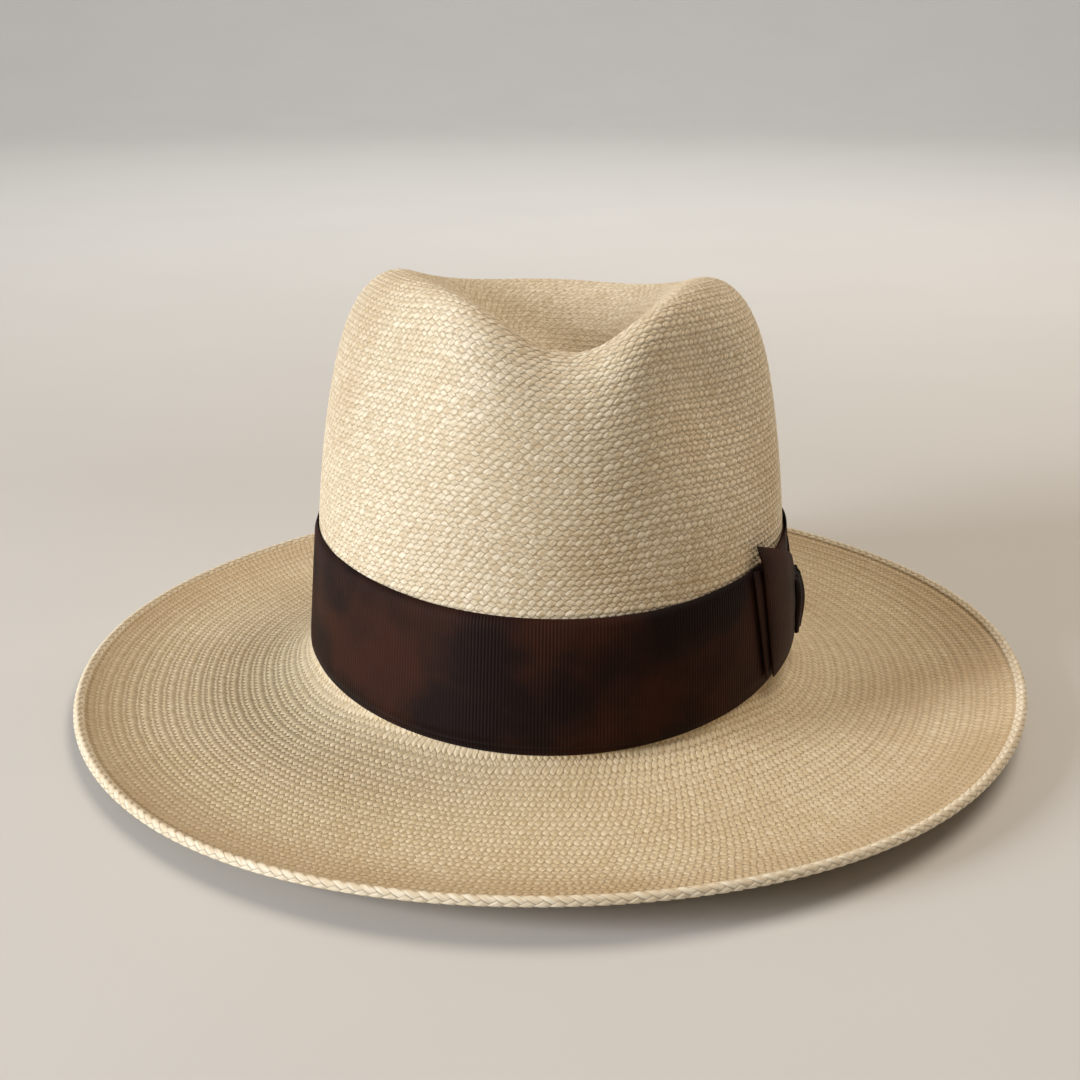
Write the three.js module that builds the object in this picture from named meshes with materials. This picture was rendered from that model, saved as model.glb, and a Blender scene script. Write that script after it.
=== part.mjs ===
// A panama hat: creased crown, cupped brim, wide ribbon with a bow at the wearer's left,
// and a leather sweatband. Millimetres, +Z up, the front of the hat towards -Y.
// The hat rests on the low ring of its brim at Z = 0, and the brim is centred on the Z axis.
import * as THREE from 'three';

// ---- Driving dimensions ----

const STRAW = 1.4; // thickness of the weave
const AROUND = 56; // stations round the hat
const CROWN_STEPS = 17; // faces from the tip's centre down to the break
const BRIM_STEPS = 4; // faces across each sloping part of the brim

// Crown, as ovals and heights measured from the break, where crown meets brim
const CROWN_HALF_WIDTH = 89;
const CROWN_HALF_LENGTH = 101;
const CROWN_SET_BACK = 8; // the brim is wider in front than behind
const CROWN_HEIGHT = 151; // open crown, before it is creased
const CROWN_SQUARENESS = 4.8; // power of the superellipse from wall to tip
const LIP_SQUARENESS = 12; // the same at the front, where it turns over sharply
const LIP_ANGLE = 3; // degrees from the front to the middle of that lip
const LIP_SPREAD = 42; // and the angle over which it softens
const SIDE_TAPER = 0.07; // narrowing per mm of height, each side
const END_TAPER = 0.155; // the same, front and back
const CROWN_SHIFT = 1.6; // the tip stands this far to the wearer's left
const CROWN_LEAN = 2.6; // and this much lower there

// Centre dent: a teardrop, wide behind and narrow in front
const DENT_DEPTH = 45;
const DENT_HALF_WIDTH_FRONT = 25;
const DENT_HALF_WIDTH_BACK = 53;
const DENT_OFFSET_FRONT = 4.5; // the front notch lies left of centre
const DENT_POWER = 2.25; // how straight its sides are
const DENT_SKEW = 0.06; // and is steeper on that side
const DENT_FRONT_RISE = 0.5; // share of the depth lost on the way to the front lip
const DENT_NARROWS = [-0.8, 0.8]; // from the back, as shares of the crown's half length
const DENT_VEERS = [-0.2, 0.7]; // where the notch moves off centre, going forward
const DENT_LIFTS = [0.38, 0.68]; // where its floor rises to the front lip
const DENT_CLOSES = [-0.1, 1]; // where it runs out towards the back
const DENT_LEVELS = [0.62, 1]; // share of the crown height where it sets in

// Pinches: one each side of the front
const PINCH_DEPTH_LEFT = 10;
const PINCH_DEPTH_RIGHT = 7.5;
const PINCH_ANGLE = 44; // degrees from the front
const PINCH_SPREAD = 20; // degrees
const PINCH_LEVEL = 0.74; // share of the crown height
const PINCH_RISE = 0.2;

// Brim
const BRIM_HALF_WIDTH = 173.6;
const BRIM_HALF_LENGTH = 190.5;
const BREAK_HEIGHT = 8; // front and back, above the surface the hat rests on
const BREAK_SIDE_LIFT = 6.5; // the break rises towards the sides
const REST_FROM = 0.34; // the flat resting ring, as shares of the brim's width
const REST_TO = 0.46;
const RIM_HEIGHT = 9.1; // mean height of the rim
const RIM_TO_LEFT = 3.2; // how much higher the rim is at the wearer's left
const RIM_TO_FRONT = 2.9; // and in front
const RIM_SADDLE = 1.1; // front and back against the sides
const RIM_CORNERS = 1.0; // the four quarters against the ends of the axes
const EDGE_WIDTH = 4.2; // the plaited edge, across
const EDGE_HEIGHT = 3.4;

// Ribbon
const RIBBON_WIDTH = 45;
const RIBBON_THICKNESS = 0.35;
const LAYER_GAP = 0.3; // between touching layers
const UNDERLAY_SHOWS = 2.2; // how far the first turn stays below the band
const BOW_ANGLE = -9; // degrees round from the wearer's left, towards the front
const BOW_REACH = 40; // from knot to the top corner of a loop
const BOW_FOOT_REACH = 33; // from knot to the lower corner of a loop
const BOW_RISE = 8.5; // how far a loop stands above the band
const BOW_PUFF = 2.6; // fullness of the front loop
const REAR_PUFF = 1.2; // and of the rear one, which lies flatter
const BOW_GATHER = 0.3; // share of that fullness left at the knot
const BOW_NARROW_FOOT = 7; // height of a loop's foot at the knot
const BOW_NARROW_HEAD = 30; // and of its head there
const BOW_LEAN_IN = 1.6; // how far it leans back to the straw above the band
const BOW_LEANS = [46, 54]; // and the heights between which it does
const BOW_HEAD_FALL = 0.63; // power by which its head falls towards the knot
const BOW_BACKING_SPARE = 2; // how far the backing passes the loops' feet
const KNOT_WIDTH = 14;
const KNOT_WAIST = 1.5; // narrowing at mid height, each side
const KNOT_FOOT = 6;
const KNOT_HEIGHT = 21;
const KNOT_THICKNESS = 2.8;
const KNOT_RISE = 1.2; // power that sets its fullest place above mid height

// Inside
const SWEATBAND_HEIGHT = 36;
const LEATHER = 0.9;
const WELT_HEIGHT = 7;
const WELT_THICKNESS = 0.3;
const REED_DIAMETER = 1.8;
const THREAD_DIAMETER = 0.6;
const THREAD_LEVEL = 3;
const SWEATBAND_LEAN = 1.6; // its top edge stands this much further in
const JOIN_TAPE_WIDTH = 10;
const JOIN_TAPE_THICKNESS = 0.4;
const REAR_BOW_REACH = 11;
const REAR_BOW_LEVEL = 9;
const REAR_KNOT_WIDTH = 3.4;
const REAR_KNOT_HEIGHT = 4.8;
const SIZE_TAB_WIDTH = 16;
const SIZE_TAB_HEIGHT = 12;
const SIZE_TAB_FOOT = 14;
const SIZE_TAB_ASIDE = 30; // from the join, towards the wearer's right
const SIZE_TAB_THICKNESS = 0.35;

const STRAW_COLOUR = 0xe2cfa4;
const EDGE_COLOUR = 0xeadcb8;
const RIBBON_COLOUR = 0x2a1a18;
const LEATHER_COLOUR = 0x6b4429;
const CLOTH_COLOUR = 0xc9b892;
const TAB_COLOUR = 0xeeeae0;

// ---- Small tools ----

const degrees = (angle) => (angle * Math.PI) / 180;
const mix = (from, to, share) => from + (to - from) * share;
const NUDGE = 1e-3; // a small step, in radians or shares, to find a direction

// A smooth rise from 0 to 1 as value passes between two limits
function ease(value, [from, to]) {
  const share = THREE.MathUtils.clamp((value - from) / (to - from), 0, 1);
  return share * share * (3 - 2 * share);
}

function wrapAngle(angle) {
  return Math.atan2(Math.sin(angle), Math.cos(angle));
}

function steps(count, from, to) {
  return Array.from({ length: count + 1 }, (_, index) => mix(from, to, index / count));
}

function ringAngles() {
  return Array.from({ length: AROUND }, (_, index) => (2 * Math.PI * index) / AROUND);
}

// ---- The shape of the straw ----

// How far the break has risen at this angle round the hat
function sideLift(angle) {
  return BREAK_SIDE_LIFT * Math.cos(angle) ** 2;
}

function breakHeight(angle) {
  return BREAK_HEIGHT + sideLift(angle);
}

// Push the wall in at the two sides of the front
function pinchDepth(angle, up) {
  const level = ((up - PINCH_LEVEL) / PINCH_RISE) ** 2;
  let depth = 0;
  for (const [side, amount] of [[1, PINCH_DEPTH_LEFT], [-1, PINCH_DEPTH_RIGHT]]) {
    const centre = degrees(-90 + side * PINCH_ANGLE);
    const round = wrapAngle(angle - centre) / degrees(PINCH_SPREAD);
    depth += amount * Math.exp(-(round ** 2) - level);
  }
  return depth;
}

// Depth of the centre dent at a place on the tip
function dentDepth(x, y, up) {
  const back = y / CROWN_HALF_LENGTH;
  const narrowing = ease(-back, DENT_NARROWS);
  const forward = ease(-back, DENT_VEERS);
  const centre = DENT_OFFSET_FRONT * forward;
  const skew = (x > centre ? -1 : 1) * DENT_SKEW * forward;
  const halfWidth = mix(DENT_HALF_WIDTH_BACK, DENT_HALF_WIDTH_FRONT, narrowing) * (1 + skew);
  const lifting = 1 - DENT_FRONT_RISE * ease(-back, DENT_LIFTS);
  const along = (1 - ease(back, DENT_CLOSES)) * lifting;
  const across = Math.exp(-(Math.abs((x - centre) / halfWidth) ** DENT_POWER));
  return DENT_DEPTH * along * across * ease(up, DENT_LEVELS);
}

// How sharply the crown turns over at its top: sharpest at the front, at the lip.
function squareness(angle) {
  const turn = angle - degrees(LIP_ANGLE - 90);
  const away = Math.atan2(Math.sin(turn), Math.cos(turn)) / degrees(LIP_SPREAD);
  return mix(CROWN_SQUARENESS, LIP_SQUARENESS, Math.exp(-(away ** 2)));
}

// Outer face of the crown. climb runs from 0 at the break to 90 degrees at the tip's centre.
function crownPoint(angle, climb) {
  const power = squareness(angle);
  const scale = (Math.cos(climb) ** power + Math.sin(climb) ** power) ** (-1 / power);
  const out = Math.max(scale * Math.cos(climb), 0);
  const up = scale * Math.sin(climb);
  const level = mix(sideLift(angle), CROWN_HEIGHT, up);
  const rise = level - sideLift(angle);
  let x = out * (CROWN_HALF_WIDTH - SIDE_TAPER * rise) * Math.cos(angle);
  let y = out * (CROWN_HALF_LENGTH - END_TAPER * rise) * Math.sin(angle);
  const inward = 1 - pinchDepth(angle, up) / Math.max(Math.hypot(x, y), 1);
  x *= Math.max(inward, 0);
  y *= Math.max(inward, 0);
  const height = level - dentDepth(x, y, up);
  const share = rise / CROWN_HEIGHT;
  const lowered = height - (CROWN_LEAN * x * share) / CROWN_HALF_WIDTH;
  return new THREE.Vector3(x + CROWN_SHIFT * share, y + CROWN_SET_BACK, lowered + BREAK_HEIGHT);
}

function rimHeight(angle) {
  return (
    RIM_HEIGHT +
    RIM_TO_LEFT * Math.cos(angle) -
    RIM_TO_FRONT * Math.sin(angle) -
    RIM_SADDLE * Math.cos(2 * angle) +
    RIM_CORNERS * Math.cos(4 * angle)
  );
}

// A place on the brim's plan, from 0 at the break to 1 at the rim
function brimPlace(angle, share) {
  const x = mix(CROWN_HALF_WIDTH, BRIM_HALF_WIDTH, share) * Math.cos(angle);
  const y = mix(CROWN_HALF_LENGTH, BRIM_HALF_LENGTH, share) * Math.sin(angle);
  return [x, y + mix(CROWN_SET_BACK, 0, share)];
}

// Upper face of the brim: a quarter ellipse down from the break, the resting ring, and the
// upturned outer part. reach runs from 0 at the break to 1 at the rim.
function brimPoint(angle, reach) {
  const low = STRAW;
  let share = reach;
  let height = low;
  if (reach < REST_FROM) {
    const turn = (reach / REST_FROM) * (Math.PI / 2);
    share = REST_FROM * (1 - Math.cos(turn));
    height = mix(breakHeight(angle), low, Math.sin(turn));
  } else if (reach > REST_TO) {
    height = mix(low, rimHeight(angle), ((reach - REST_TO) / (1 - REST_TO)) ** 2);
  }
  const [x, y] = brimPlace(angle, share);
  return new THREE.Vector3(x, y, height);
}

// One line over the whole straw: -1 at the tip's centre, 0 at the break, 1 at the rim
function strawPoint(angle, along) {
  return along < 0 ? crownPoint(angle, (-along * Math.PI) / 2) : brimPoint(angle, along);
}

// The same line, moved out of the surface (or into it, when offset is negative)
function offsetPoint(angle, along, offset) {
  const lower = Math.max(along - NUDGE, -1 + NUDGE);
  const upper = Math.min(along + NUDGE, 1);
  const down = strawPoint(angle, upper).sub(strawPoint(angle, lower));
  const round = strawPoint(angle + NUDGE, upper).sub(strawPoint(angle - NUDGE, upper));
  const normal = down.cross(round).normalize();
  return strawPoint(angle, along).addScaledVector(normal, offset);
}

// A place on the crown's wall, given its height above the break, moved out by offset
function wallPoint(angle, height, offset) {
  const up = Math.max(height, 0) / (CROWN_HEIGHT - sideLift(angle));
  const power = squareness(angle);
  const out = (1 - up ** power) ** (1 / power);
  const climb = Math.atan2(up, out);
  const place = crownPoint(angle, climb);
  const ahead = crownPoint(angle + NUDGE, climb).sub(place);
  const normal = new THREE.Vector3(ahead.y, -ahead.x, 0).normalize();
  place.addScaledVector(normal, offset);
  place.z += Math.min(height, 0);
  return place;
}

// ---- Building closed bodies ----

function signedVolume(points, faces) {
  let sum = 0;
  for (const [a, b, c] of faces) {
    sum += points[a].dot(new THREE.Vector3().crossVectors(points[b], points[c])) / 6;
  }
  return sum;
}

function bodyFrom(points, faces) {
  const whole = faces.filter(([a, b, c]) => a !== b && b !== c && a !== c);
  const outward = signedVolume(points, whole) > 0 ? whole : whole.map(([a, b, c]) => [a, c, b]);
  const geometry = new THREE.BufferGeometry().setFromPoints(points);
  geometry.setIndex(outward.flat());
  geometry.computeVertexNormals();
  return geometry;
}

// Sections of equal length joined in order. A ring joins the last to the first; otherwise both
// ends are closed by strips across the section, which runs out one side and back the other.
function sweep(sections, ring) {
  const size = sections[0].length;
  const points = sections.flat();
  const faces = [];
  const quad = (a, b, c, d) => faces.push([a, b, c], [a, c, d]);
  const spans = ring ? sections.length : sections.length - 1;
  for (let row = 0; row < spans; row += 1) {
    const here = row * size;
    const next = ((row + 1) % sections.length) * size;
    for (let step = 0; step < size; step += 1) {
      const after = (step + 1) % size;
      quad(here + step, here + after, next + after, next + step);
    }
  }
  if (!ring) {
    const last = (sections.length - 1) * size;
    for (let step = 0; step < size / 2 - 1; step += 1) {
      const back = size - 1 - step;
      quad(step, back, back - 1, step + 1);
      quad(last + step, last + step + 1, last + back - 1, last + back);
    }
  }
  return bodyFrom(points, faces);
}

// Lines from one pole to the other, all starting and ending at the same two points
function poleToPole(lines) {
  const inner = lines[0].length - 2;
  const points = [lines[0][0], lines[0][inner + 1]];
  for (const line of lines) points.push(...line.slice(1, -1));
  const at = (line, step) => {
    if (step === 0) return 0;
    if (step === inner + 1) return 1;
    return 2 + (line % lines.length) * inner + step - 1;
  };
  const faces = [];
  for (let line = 0; line < lines.length; line += 1) {
    for (let step = 0; step <= inner; step += 1) {
      faces.push([at(line, step), at(line, step + 1), at(line + 1, step + 1)]);
      faces.push([at(line, step), at(line + 1, step + 1), at(line + 1, step)]);
    }
  }
  return bodyFrom(points, faces);
}

// A strip that hugs the wall: heights from foot to head, between two distances from the straw
function wallSection(angle, heights, innerOffset, outerOffset) {
  const outside = heights.map((height) => wallPoint(angle, height, outerOffset));
  const inside = heights.map((height) => wallPoint(angle, height, innerOffset));
  return [...outside, ...inside.reverse()];
}

// A round bar following a closed line
function ringBar(pointAt, halfWidth, halfHeight, sides) {
  const sections = ringAngles().map((angle) => {
    const centre = pointAt(angle);
    const ahead = pointAt(angle + NUDGE).sub(centre);
    const outward = new THREE.Vector3(ahead.y, -ahead.x, 0).normalize();
    return Array.from({ length: sides }, (_, side) => {
      const turn = (2 * Math.PI * side) / sides;
      const point = centre.clone().addScaledVector(outward, halfWidth * Math.cos(turn));
      point.z += halfHeight * Math.sin(turn);
      return point;
    });
  });
  return sweep(sections, true);
}

// ---- Straw ----

function strawBody() {
  const edgeInset = (EDGE_WIDTH + LAYER_GAP) / (BRIM_HALF_WIDTH - CROWN_HALF_WIDTH);
  const crownSteps = steps(CROWN_STEPS, -1, 0);
  const brimSteps = [
    ...steps(BRIM_STEPS, 0, REST_FROM).slice(1),
    ...steps(BRIM_STEPS, REST_TO, 1 - edgeInset),
  ];
  const along = [...crownSteps, ...brimSteps];
  const lines = ringAngles().map((angle) => {
    const outside = along.map((place) => strawPoint(angle, place));
    const inside = along.map((place) => offsetPoint(angle, place, -STRAW));
    inside[0] = strawPoint(0, -1).sub(new THREE.Vector3(0, 0, STRAW));
    return [...outside, ...inside.reverse()];
  });
  return poleToPole(lines);
}

function brimEdgeBraid() {
  const inset = EDGE_WIDTH / 2 / (BRIM_HALF_WIDTH - CROWN_HALF_WIDTH);
  const centre = (angle) => {
    const point = brimPoint(angle, 1 - inset);
    point.z -= STRAW / 2;
    return point;
  };
  return ringBar(centre, EDGE_WIDTH / 2, EDGE_HEIGHT / 2, 6);
}

// ---- Ribbon ----

// The distance of a ribbon layer's inner face from the straw
function layerOffset(layer) {
  return LAYER_GAP * (layer + 1) + RIBBON_THICKNESS * layer;
}

function ribbonRing(layer, foot, head) {
  const inner = layerOffset(layer);
  const heights = steps(2, foot, head);
  const section = (angle) => wallSection(angle, heights, inner, inner + RIBBON_THICKNESS);
  return sweep(ringAngles().map(section), true);
}

function bandUnderlay() {
  return ribbonRing(0, LAYER_GAP, RIBBON_WIDTH - UNDERLAY_SHOWS);
}

function hatBand() {
  return ribbonRing(1, UNDERLAY_SHOWS, RIBBON_WIDTH);
}

// Angle round the hat at a distance along the ribbon from the knot; positive is to the rear
function bowAngle(distance) {
  return degrees(BOW_ANGLE) + distance / CROWN_HALF_WIDTH;
}

// A loop's outline: foot and head heights, and reach at each height, from the knot outwards
function loopPoint(side, out, rise, offset, reachScale, headDrop) {
  const foot = mix(BOW_NARROW_FOOT, UNDERLAY_SHOWS + 1.5, out);
  const head = mix(BOW_NARROW_HEAD, RIBBON_WIDTH + BOW_RISE - headDrop, out ** BOW_HEAD_FALL);
  const height = mix(foot, head, rise);
  const reach = mix(BOW_FOOT_REACH, BOW_REACH, rise) * reachScale;
  const leaning = BOW_LEAN_IN * ease(height, BOW_LEANS);
  return wallPoint(bowAngle(side * (KNOT_WIDTH / 4 + out * reach)), height, offset - leaning);
}

function bowLoop(side, innerOffset, puff, reachScale, headDrop) {
  const sections = steps(7, 0, 1).map((out) => {
    const swell = mix(BOW_GATHER, 1, ease(out, [0, 0.55]));
    const fullness = puff * swell * Math.sqrt(Math.max(1 - out ** 6, 0));
    const outside = steps(4, 0, 1).map((rise) => {
      const crown = fullness * (0.3 + 0.7 * Math.sin(Math.PI * rise));
      const offset = innerOffset + 2 * RIBBON_THICKNESS + crown;
      return loopPoint(side, out, rise, offset, reachScale, headDrop);
    });
    const inside = steps(4, 0, 1).map((rise) =>
      loopPoint(side, out, rise, innerOffset, reachScale, headDrop),
    );
    return [...outside, ...inside.reverse()];
  });
  return sweep(sections, false);
}

function bowBacking() {
  const inner = layerOffset(2);
  const heights = steps(3, UNDERLAY_SHOWS + 1, RIBBON_WIDTH + 1.2);
  const reach = BOW_FOOT_REACH + BOW_BACKING_SPARE;
  const sections = steps(12, -reach, reach).map((distance) =>
    wallSection(bowAngle(distance), heights, inner, inner + RIBBON_THICKNESS),
  );
  return sweep(sections, false);
}

const UNDER_LOOP_OFFSET = layerOffset(3);
const UNDER_LOOP_PUFF = 0.3;
const UNDER_LOOP_HEAD_DROP = 8; // its top edge is lower than the upper loop's
const UNDER_LOOP_REACH = 1.08; // and it reaches a little further forward
const UPPER_LOOP_OFFSET = UNDER_LOOP_OFFSET + 2 * RIBBON_THICKNESS + UNDER_LOOP_PUFF + LAYER_GAP;

const FRONT_PUFF = BOW_PUFF + UNDER_LOOP_OFFSET - UPPER_LOOP_OFFSET;
const REAR_REACH = 0.62; // the rear loop is shorter
const REAR_HEAD_DROP = 13;

function bowUnderLoop() {
  const drop = UNDER_LOOP_HEAD_DROP;
  return bowLoop(-1, UNDER_LOOP_OFFSET, UNDER_LOOP_PUFF, UNDER_LOOP_REACH, drop);
}

function bowFrontLoop() {
  return bowLoop(-1, UPPER_LOOP_OFFSET, FRONT_PUFF, 1, 0);
}

function bowRearLoop() {
  return bowLoop(1, UNDER_LOOP_OFFSET, REAR_PUFF, REAR_REACH, REAR_HEAD_DROP);
}

// One side of a section across the knot, from foot to head; depthAt gives its distance out
function knotLine(across, depthAt) {
  return steps(6, 0, 1).map((rise) => {
    const belly = Math.sin(Math.PI * rise ** KNOT_RISE);
    const half = KNOT_WIDTH / 2 - KNOT_WAIST * belly;
    return wallPoint(bowAngle(across * half), KNOT_FOOT + KNOT_HEIGHT * rise, depthAt(belly));
  });
}

function bowKnot() {
  const inner = UPPER_LOOP_OFFSET + 2 * RIBBON_THICKNESS + FRONT_PUFF * BOW_GATHER + LAYER_GAP;
  const sections = steps(8, -1, 1).map((across) => {
    const arch = Math.sqrt(Math.max(1 - across ** 2, 0.05));
    const swell = (belly) => inner + KNOT_THICKNESS * arch * mix(0.45, 1, belly);
    return [...knotLine(across, swell), ...knotLine(across, () => inner).reverse()];
  });
  return sweep(sections, false);
}

// ---- Inside the crown ----

const WELT_OFFSET = -(STRAW + LAYER_GAP);
const LEATHER_OFFSET = WELT_OFFSET - WELT_THICKNESS - LAYER_GAP;
const LEATHER_FOOT = 0.5;

// The sweatband leans inwards towards its top edge
function leatherOffset(height) {
  return LEATHER_OFFSET - (SWEATBAND_LEAN * height) / SWEATBAND_HEIGHT;
}

function leatherSection(angle, heights, depth, thickness) {
  const face = (height) => leatherOffset(height) - depth;
  const outside = heights.map((height) => wallPoint(angle, height, face(height)));
  const inside = heights.map((height) => wallPoint(angle, height, face(height) - thickness));
  return [...outside, ...inside.reverse()];
}

function sweatband() {
  const heights = steps(2, LEATHER_FOOT, SWEATBAND_HEIGHT);
  const section = (angle) => leatherSection(angle, heights, 0, LEATHER);
  return sweep(ringAngles().map(section), true);
}

function sweatbandWelt() {
  const heights = steps(1, LEATHER_FOOT, WELT_HEIGHT);
  const section = (angle) =>
    wallSection(angle, heights, WELT_OFFSET - WELT_THICKNESS, WELT_OFFSET);
  return sweep(ringAngles().map(section), true);
}

function sweatbandReed() {
  const height = LEATHER_FOOT - LAYER_GAP - REED_DIAMETER / 2;
  const offset = LEATHER_OFFSET - LEATHER / 2;
  const centre = (angle) => wallPoint(angle, height, offset);
  return ringBar(centre, REED_DIAMETER / 2, REED_DIAMETER / 2, 6);
}

function sweatbandSeamThread() {
  const offset = leatherOffset(THREAD_LEVEL) - LEATHER - LAYER_GAP - THREAD_DIAMETER / 2;
  const centre = (angle) => wallPoint(angle, THREAD_LEVEL, offset);
  return ringBar(centre, THREAD_DIAMETER / 2, THREAD_DIAMETER / 2, 5);
}

// Angle at a distance from the join at the back; positive is towards the wearer's right
function innerAngle(distance) {
  return degrees(90) + distance / CROWN_HALF_WIDTH;
}

function sweatbandJoinTape() {
  const heights = steps(2, 5, SWEATBAND_HEIGHT - 2);
  const half = JOIN_TAPE_WIDTH / 2;
  const sections = steps(4, -half, half).map((distance) =>
    leatherSection(innerAngle(distance), heights, LEATHER + LAYER_GAP, JOIN_TAPE_THICKNESS),
  );
  return sweep(sections, false);
}

const REAR_BOW_DEPTH = LEATHER + LAYER_GAP + JOIN_TAPE_THICKNESS + LAYER_GAP;

function rearBowLoop(side) {
  const start = REAR_KNOT_WIDTH / 2 + LAYER_GAP;
  const sections = steps(5, 0, 1).map((out) => {
    const halfHeight = mix(1.4, 3.2, ease(out, [0, 0.7]));
    const distance = side * (start + out * REAR_BOW_REACH);
    const swell = 1.0 + 1.2 * Math.sqrt(Math.max(1 - (2 * out - 1) ** 2, 0));
    const heights = steps(2, REAR_BOW_LEVEL - halfHeight, REAR_BOW_LEVEL + halfHeight);
    return leatherSection(innerAngle(distance), heights, REAR_BOW_DEPTH, swell);
  });
  return sweep(sections, false);
}

function rearBowKnot() {
  const half = REAR_KNOT_HEIGHT / 2;
  const heights = steps(2, REAR_BOW_LEVEL - half, REAR_BOW_LEVEL + half);
  const sections = steps(4, -1, 1).map((across) => {
    const thickness = 1.6 + 1.2 * Math.cos(across * 1.2);
    const angle = innerAngle((across * REAR_KNOT_WIDTH) / 2);
    return leatherSection(angle, heights, REAR_BOW_DEPTH, thickness);
  });
  return sweep(sections, false);
}

function sizeTab() {
  const heights = steps(1, SIZE_TAB_FOOT, SIZE_TAB_FOOT + SIZE_TAB_HEIGHT);
  const half = SIZE_TAB_WIDTH / 2;
  const sections = steps(4, -half, half).map((distance) => {
    const angle = innerAngle(distance + SIZE_TAB_ASIDE);
    return leatherSection(angle, heights, LEATHER + LAYER_GAP, SIZE_TAB_THICKNESS);
  });
  return sweep(sections, false);
}

// ---- The hat ----

function finish(color, roughness) {
  return new THREE.MeshStandardMaterial({ color, roughness, metalness: 0 });
}

const pieces = {
  straw_body: [strawBody(), STRAW_COLOUR, 0.7],
  brim_edge_braid: [brimEdgeBraid(), EDGE_COLOUR, 0.65],
  band_underlay: [bandUnderlay(), RIBBON_COLOUR, 0.6],
  hat_band: [hatBand(), RIBBON_COLOUR, 0.55],
  bow_backing: [bowBacking(), RIBBON_COLOUR, 0.55],
  bow_under_loop: [bowUnderLoop(), RIBBON_COLOUR, 0.55],
  bow_front_loop: [bowFrontLoop(), RIBBON_COLOUR, 0.55],
  bow_rear_loop: [bowRearLoop(), RIBBON_COLOUR, 0.55],
  bow_knot: [bowKnot(), RIBBON_COLOUR, 0.55],
  sweatband: [sweatband(), LEATHER_COLOUR, 0.5],
  sweatband_welt: [sweatbandWelt(), CLOTH_COLOUR, 0.85],
  sweatband_reed: [sweatbandReed(), CLOTH_COLOUR, 0.6],
  sweatband_seam_thread: [sweatbandSeamThread(), CLOTH_COLOUR, 0.8],
  sweatband_join_tape: [sweatbandJoinTape(), LEATHER_COLOUR, 0.7],
  rear_bow_left_loop: [rearBowLoop(-1), RIBBON_COLOUR, 0.6],
  rear_bow_right_loop: [rearBowLoop(1), RIBBON_COLOUR, 0.6],
  rear_bow_knot: [rearBowKnot(), RIBBON_COLOUR, 0.6],
  size_tab: [sizeTab(), TAB_COLOUR, 0.8],
};

const hat = new THREE.Group();
for (const [name, [geometry, colour, roughness]] of Object.entries(pieces)) {
  const mesh = new THREE.Mesh(geometry, finish(colour, roughness));
  mesh.name = name;
  hat.add(mesh);
}

export default hat;
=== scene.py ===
import math
from collections import namedtuple

import bpy
import numpy as np
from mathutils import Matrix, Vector


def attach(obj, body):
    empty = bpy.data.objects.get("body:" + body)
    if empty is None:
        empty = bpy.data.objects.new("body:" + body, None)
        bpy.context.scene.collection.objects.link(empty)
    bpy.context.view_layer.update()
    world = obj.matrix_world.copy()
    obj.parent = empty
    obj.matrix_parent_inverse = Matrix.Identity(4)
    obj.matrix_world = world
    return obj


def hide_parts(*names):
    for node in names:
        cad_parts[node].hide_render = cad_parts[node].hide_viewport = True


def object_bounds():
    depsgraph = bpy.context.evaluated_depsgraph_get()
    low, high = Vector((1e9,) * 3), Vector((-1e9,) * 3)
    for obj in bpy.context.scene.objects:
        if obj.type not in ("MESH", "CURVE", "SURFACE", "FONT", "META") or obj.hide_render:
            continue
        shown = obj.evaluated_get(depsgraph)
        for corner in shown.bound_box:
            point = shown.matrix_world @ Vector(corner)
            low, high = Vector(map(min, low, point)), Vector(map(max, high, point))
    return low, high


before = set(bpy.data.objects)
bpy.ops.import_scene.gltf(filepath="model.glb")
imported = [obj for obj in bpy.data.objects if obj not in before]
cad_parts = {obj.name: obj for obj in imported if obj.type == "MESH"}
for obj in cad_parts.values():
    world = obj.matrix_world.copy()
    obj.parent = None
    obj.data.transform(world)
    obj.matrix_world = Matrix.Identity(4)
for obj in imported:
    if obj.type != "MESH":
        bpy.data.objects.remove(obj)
cad_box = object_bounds()

MM = 0.001

# ---- Driving dimensions, the same as the CAD part's ----

STRAW = 1.4
CROWN_HALF_WIDTH = 89
CROWN_HALF_LENGTH = 101
CROWN_SET_BACK = 8
CROWN_HEIGHT = 151
CROWN_SQUARENESS = 4.8
LIP_SQUARENESS = 12
LIP_ANGLE = 3
LIP_SPREAD = 42
SIDE_TAPER = 0.07
END_TAPER = 0.155
CROWN_SHIFT = 1.6
CROWN_LEAN = 2.6

DENT_DEPTH = 45
DENT_HALF_WIDTH_FRONT = 25
DENT_HALF_WIDTH_BACK = 53
DENT_POWER = 2.25
DENT_OFFSET_FRONT = 4.5
DENT_SKEW = 0.06
DENT_FRONT_RISE = 0.5
DENT_NARROWS = (-0.8, 0.8)
DENT_VEERS = (-0.2, 0.7)
DENT_LIFTS = (0.38, 0.68)
DENT_CLOSES = (-0.1, 1)
DENT_LEVELS = (0.62, 1)

PINCH_DEPTH_LEFT = 10
PINCH_DEPTH_RIGHT = 7.5
PINCH_ANGLE = 44
PINCH_SPREAD = 20
PINCH_LEVEL = 0.74
PINCH_RISE = 0.2

BRIM_HALF_WIDTH = 173.6
BRIM_HALF_LENGTH = 190.5
BREAK_HEIGHT = 8
BREAK_SIDE_LIFT = 6.5
REST_FROM = 0.34
REST_TO = 0.46
RIM_HEIGHT = 9.1
RIM_TO_LEFT = 3.2
RIM_TO_FRONT = 2.9
RIM_SADDLE = 1.1
RIM_CORNERS = 1.0
EDGE_WIDTH = 4.2
EDGE_HEIGHT = 3.4

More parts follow.
